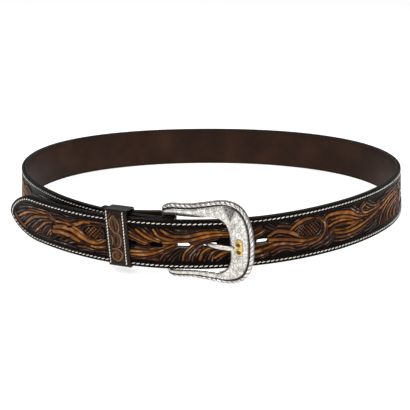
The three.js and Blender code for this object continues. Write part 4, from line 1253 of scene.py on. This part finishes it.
# The ornament on the end bar: two gilt rosettes side by side on a small gilt plate, soldered on.
# Each has a ring of petals round a bead.
ORNAMENT_X, ORNAMENT_Y, ORNAMENT_SEAT, ORNAMENT_LENGTH, ORNAMENT_WIDTH = 54.9, -0.4, 3.0, 12.2, 5.4
PLATE, ROSETTE_SPREAD, PETALS, DARK_RADIUS, DARK_SHARE = 0.7, 2.8, 8, 1.75, 0.88
# Each row: radius and height of the rosette's section, from its bead to its rim and back below
ROSETTE_ROWS = [
    (0.0001, 1.35), (0.3, 1.3), (0.6, 1.1), (0.8, 0.95), (1.0, 1.05), (1.15, 1.5), (1.4, 1.85),
    (1.7, 1.95), (1.95, 1.75), (2.15, 1.45), (2.35, 1.1), (2.55, 0.65), (2.55, 0.05), (0.0001, 0.05)]


def gilt_ornament():
    angle = np.linspace(0, 2 * math.pi, 73)[:-1]
    petal = np.abs(np.sin(angle * PETALS / 2))
    pieces = []
    for side in (-1, 1):
        points = []
        for radius, z in ROSETTE_ROWS:
            reach = radius * (1 + 0.05 * petal * (radius > 1.3))
            lift = 0.3 * (petal - 0.6) * (1.3 < radius < 2.4)
            points.append(np.stack([
                reach * np.cos(angle), side * ROSETTE_SPREAD + reach * np.sin(angle), z + lift], 1))
        pieces.append(loft("rosette", np.array(points) * MM))
    bm = round_ended(ORNAMENT_LENGTH, ORNAMENT_WIDTH, PLATE, 40, 1)
    bmesh.ops.recalc_face_normals(bm, faces=bm.faces)
    round_rims(bm, 0.15)
    bmesh.ops.scale(bm, verts=bm.verts, vec=(MM, MM, MM))
    plate = add_piece("gilt_rosettes", mesh_of(bm, "ornament_plate"))
    cut_with(plate, pieces, "UNION")
    spots = np.zeros(len(plate.data.vertices) * 3, np.float32)
    plate.data.vertices.foreach_get("co", spots)
    away = [np.hypot(spots[0::3] / MM, spots[1::3] / MM - side * ROSETTE_SPREAD) for side in (-1, 1)]
    dark = np.where(np.minimum(*away) < DARK_RADIUS, DARK_SHARE, 0.0).astype(np.float32)
    patina_and_painted_shade = plate.data.attributes.new("patina_and_painted_shade", "FLOAT_COLOR", "POINT")
    patina_and_painted_shade.data.foreach_set("color", np.repeat(dark, 4))
    seat = Matrix.Translation((ORNAMENT_X * MM, ORNAMENT_Y * MM, ORNAMENT_SEAT * MM))
    plate.data.transform(CASTING @ seat)
    return plate


ornament = gilt_ornament()

look = Look("gilt", Metallic=0.6)
cloud = look.noise(500)
colour = look.ramp(cloud, (0.35, (0.62, 0.40, 0.11)), (0.6, (0.86, 0.66, 0.27)))
look.set(Base_Color=look.mix(look.marks("patina_and_painted_shade")[0], colour, (0.07, 0.034, 0.010)),
         Roughness=look.ramp(cloud, (0.3, 0.38), (0.7, 0.24)))
look.bump(cloud, 0.00005, 0.4)
dress(ornament, look.material)
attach(ornament, "root")
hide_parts("gilt_ornament")

# The studs: two turned screw studs that clamp the strap to its fold-back behind the buckle, each
# with a low domed head on both sides.
STUD_SHAFT, STUD_SEAT, STUD_RADIUS, STUD_DOME = 1.9, 0.5, 4.2, 1.1


def fold_stud(name, height):
    gap = float(np.interp(STUD_STATION, FOLD_GAPS[:, 0], FOLD_GAPS[:, 1]))
    front = STRAP_THICKNESS / 2 + STUD_SEAT
    back = -gap - STRAP_THICKNESS / 2 - STUD_SEAT
    dome = [(0, 1.0), (0.3, 0.97), (0.55, 0.86), (0.75, 0.68), (0.9, 0.45), (0.98, 0.22), (1, 0.1),
            (0.97, 0)]
    profile = [(STUD_RADIUS * r, back - STUD_DOME * z) for r, z in dome]
    profile += [(STUD_SHAFT, back), (STUD_SHAFT, front)]
    profile += [(STUD_RADIUS * r, front + STUD_DOME * z) for r, z in dome[::-1]]
    bm = bmesh.new()
    verts = [bm.verts.new((r * MM, 0, z * MM)) for r, z in profile]
    line = [bm.edges.new(pair) for pair in zip(verts, verts[1:])]
    bmesh.ops.spin(bm, geom=verts + line, cent=(0, 0, 0), axis=(0, 0, 1), angle=2 * math.pi,
                   steps=36, use_merge=True)
    bmesh.ops.remove_doubles(bm, verts=bm.verts, dist=1e-7)
    bmesh.ops.recalc_face_normals(bm, faces=bm.faces)
    bmesh.ops.transform(bm, verts=bm.verts, matrix=square_to_strap(STUD_STATION, height))
    mesh = mesh_of(bm, name)
    mesh.shade_smooth()
    mesh.set_sharp_from_angle(angle=math.radians(50))
    return add_piece(name, mesh)


look = Look("stud_steel", Metallic=1.0)
cloud = look.noise(400, 5)
look.set(Base_Color=look.ramp(cloud, (0.3, (0.20, 0.18, 0.16)), (0.6, (0.42, 0.39, 0.36))),
         Roughness=look.ramp(cloud, (0.3, 0.45), (0.7, 0.28)))
look.bump(cloud, 0.00003, 0.4)
for node, height in zip(("fold_stud_lower", "fold_stud_upper"), STUD_HEIGHTS):
    stud = fold_stud(node + "_turned", height)
    dress(stud, look.material)
    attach(stud, "root")
    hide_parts(node)

# The floor: a wide pale sheet that isn't part of the belt.
bm = bmesh.new()
bmesh.ops.create_grid(bm, x_segments=1, y_segments=1, size=6)
floor = add_piece("floor", mesh_of(bm, "floor"))
dress(floor, Look(
    "pale_floor", Base_Color=(0.7, 0.7, 0.7), Roughness=0.9, Specular_IOR_Level=0.0,
    Emission_Color=(1, 1, 1), Emission_Strength=0.75).material)

# Soft studio light: a bright pale room and three wide lamps.
world = bpy.data.worlds.new("studio")
bpy.context.scene.world = world
world.use_nodes = True
background = world.node_tree.nodes["Background"]
background.inputs[0].default_value = (1, 1, 1, 1)
background.inputs[1].default_value = 0.3
LAMP_AIM = (0, 0, 0.03)


def lamp(name, place, width, height, power):
    light = bpy.data.lights.new(name, "AREA")
    light.shape = "RECTANGLE"
    light.size, light.size_y, light.energy = width, height, power
    holder = add_piece(name, light)
    holder.location = place
    holder.rotation_euler = (Vector(LAMP_AIM) - Vector(place)).to_track_quat("-Z", "Y").to_euler()


lamp("key", (-0.6, -1.2, 1.3), 1.0, 0.6, 13)
lamp("fill", (1.1, -0.9, 0.9), 0.8, 0.8, 6)
lamp("back", (0.2, 1.2, 1.1), 1.4, 0.5, 10)

# The camera stands where the photograph was taken from, a little above the belt.
CAMERA_PLACE, CAMERA_DOWN, CAMERA_LENS, CAMERA_WIDTH = (-0.00549, -0.64065, 0.2369), 19.79, 65.85, 36.0
camera_data = bpy.data.cameras.new("camera")
camera_data.sensor_width = CAMERA_WIDTH
camera_data.lens = CAMERA_LENS
camera = add_piece("camera", camera_data)
camera.location = CAMERA_PLACE
camera.rotation_euler = (math.radians(90 - CAMERA_DOWN), 0, 0)
bpy.context.scene.camera = camera
bpy.context.scene.view_settings.view_transform = "Standard"
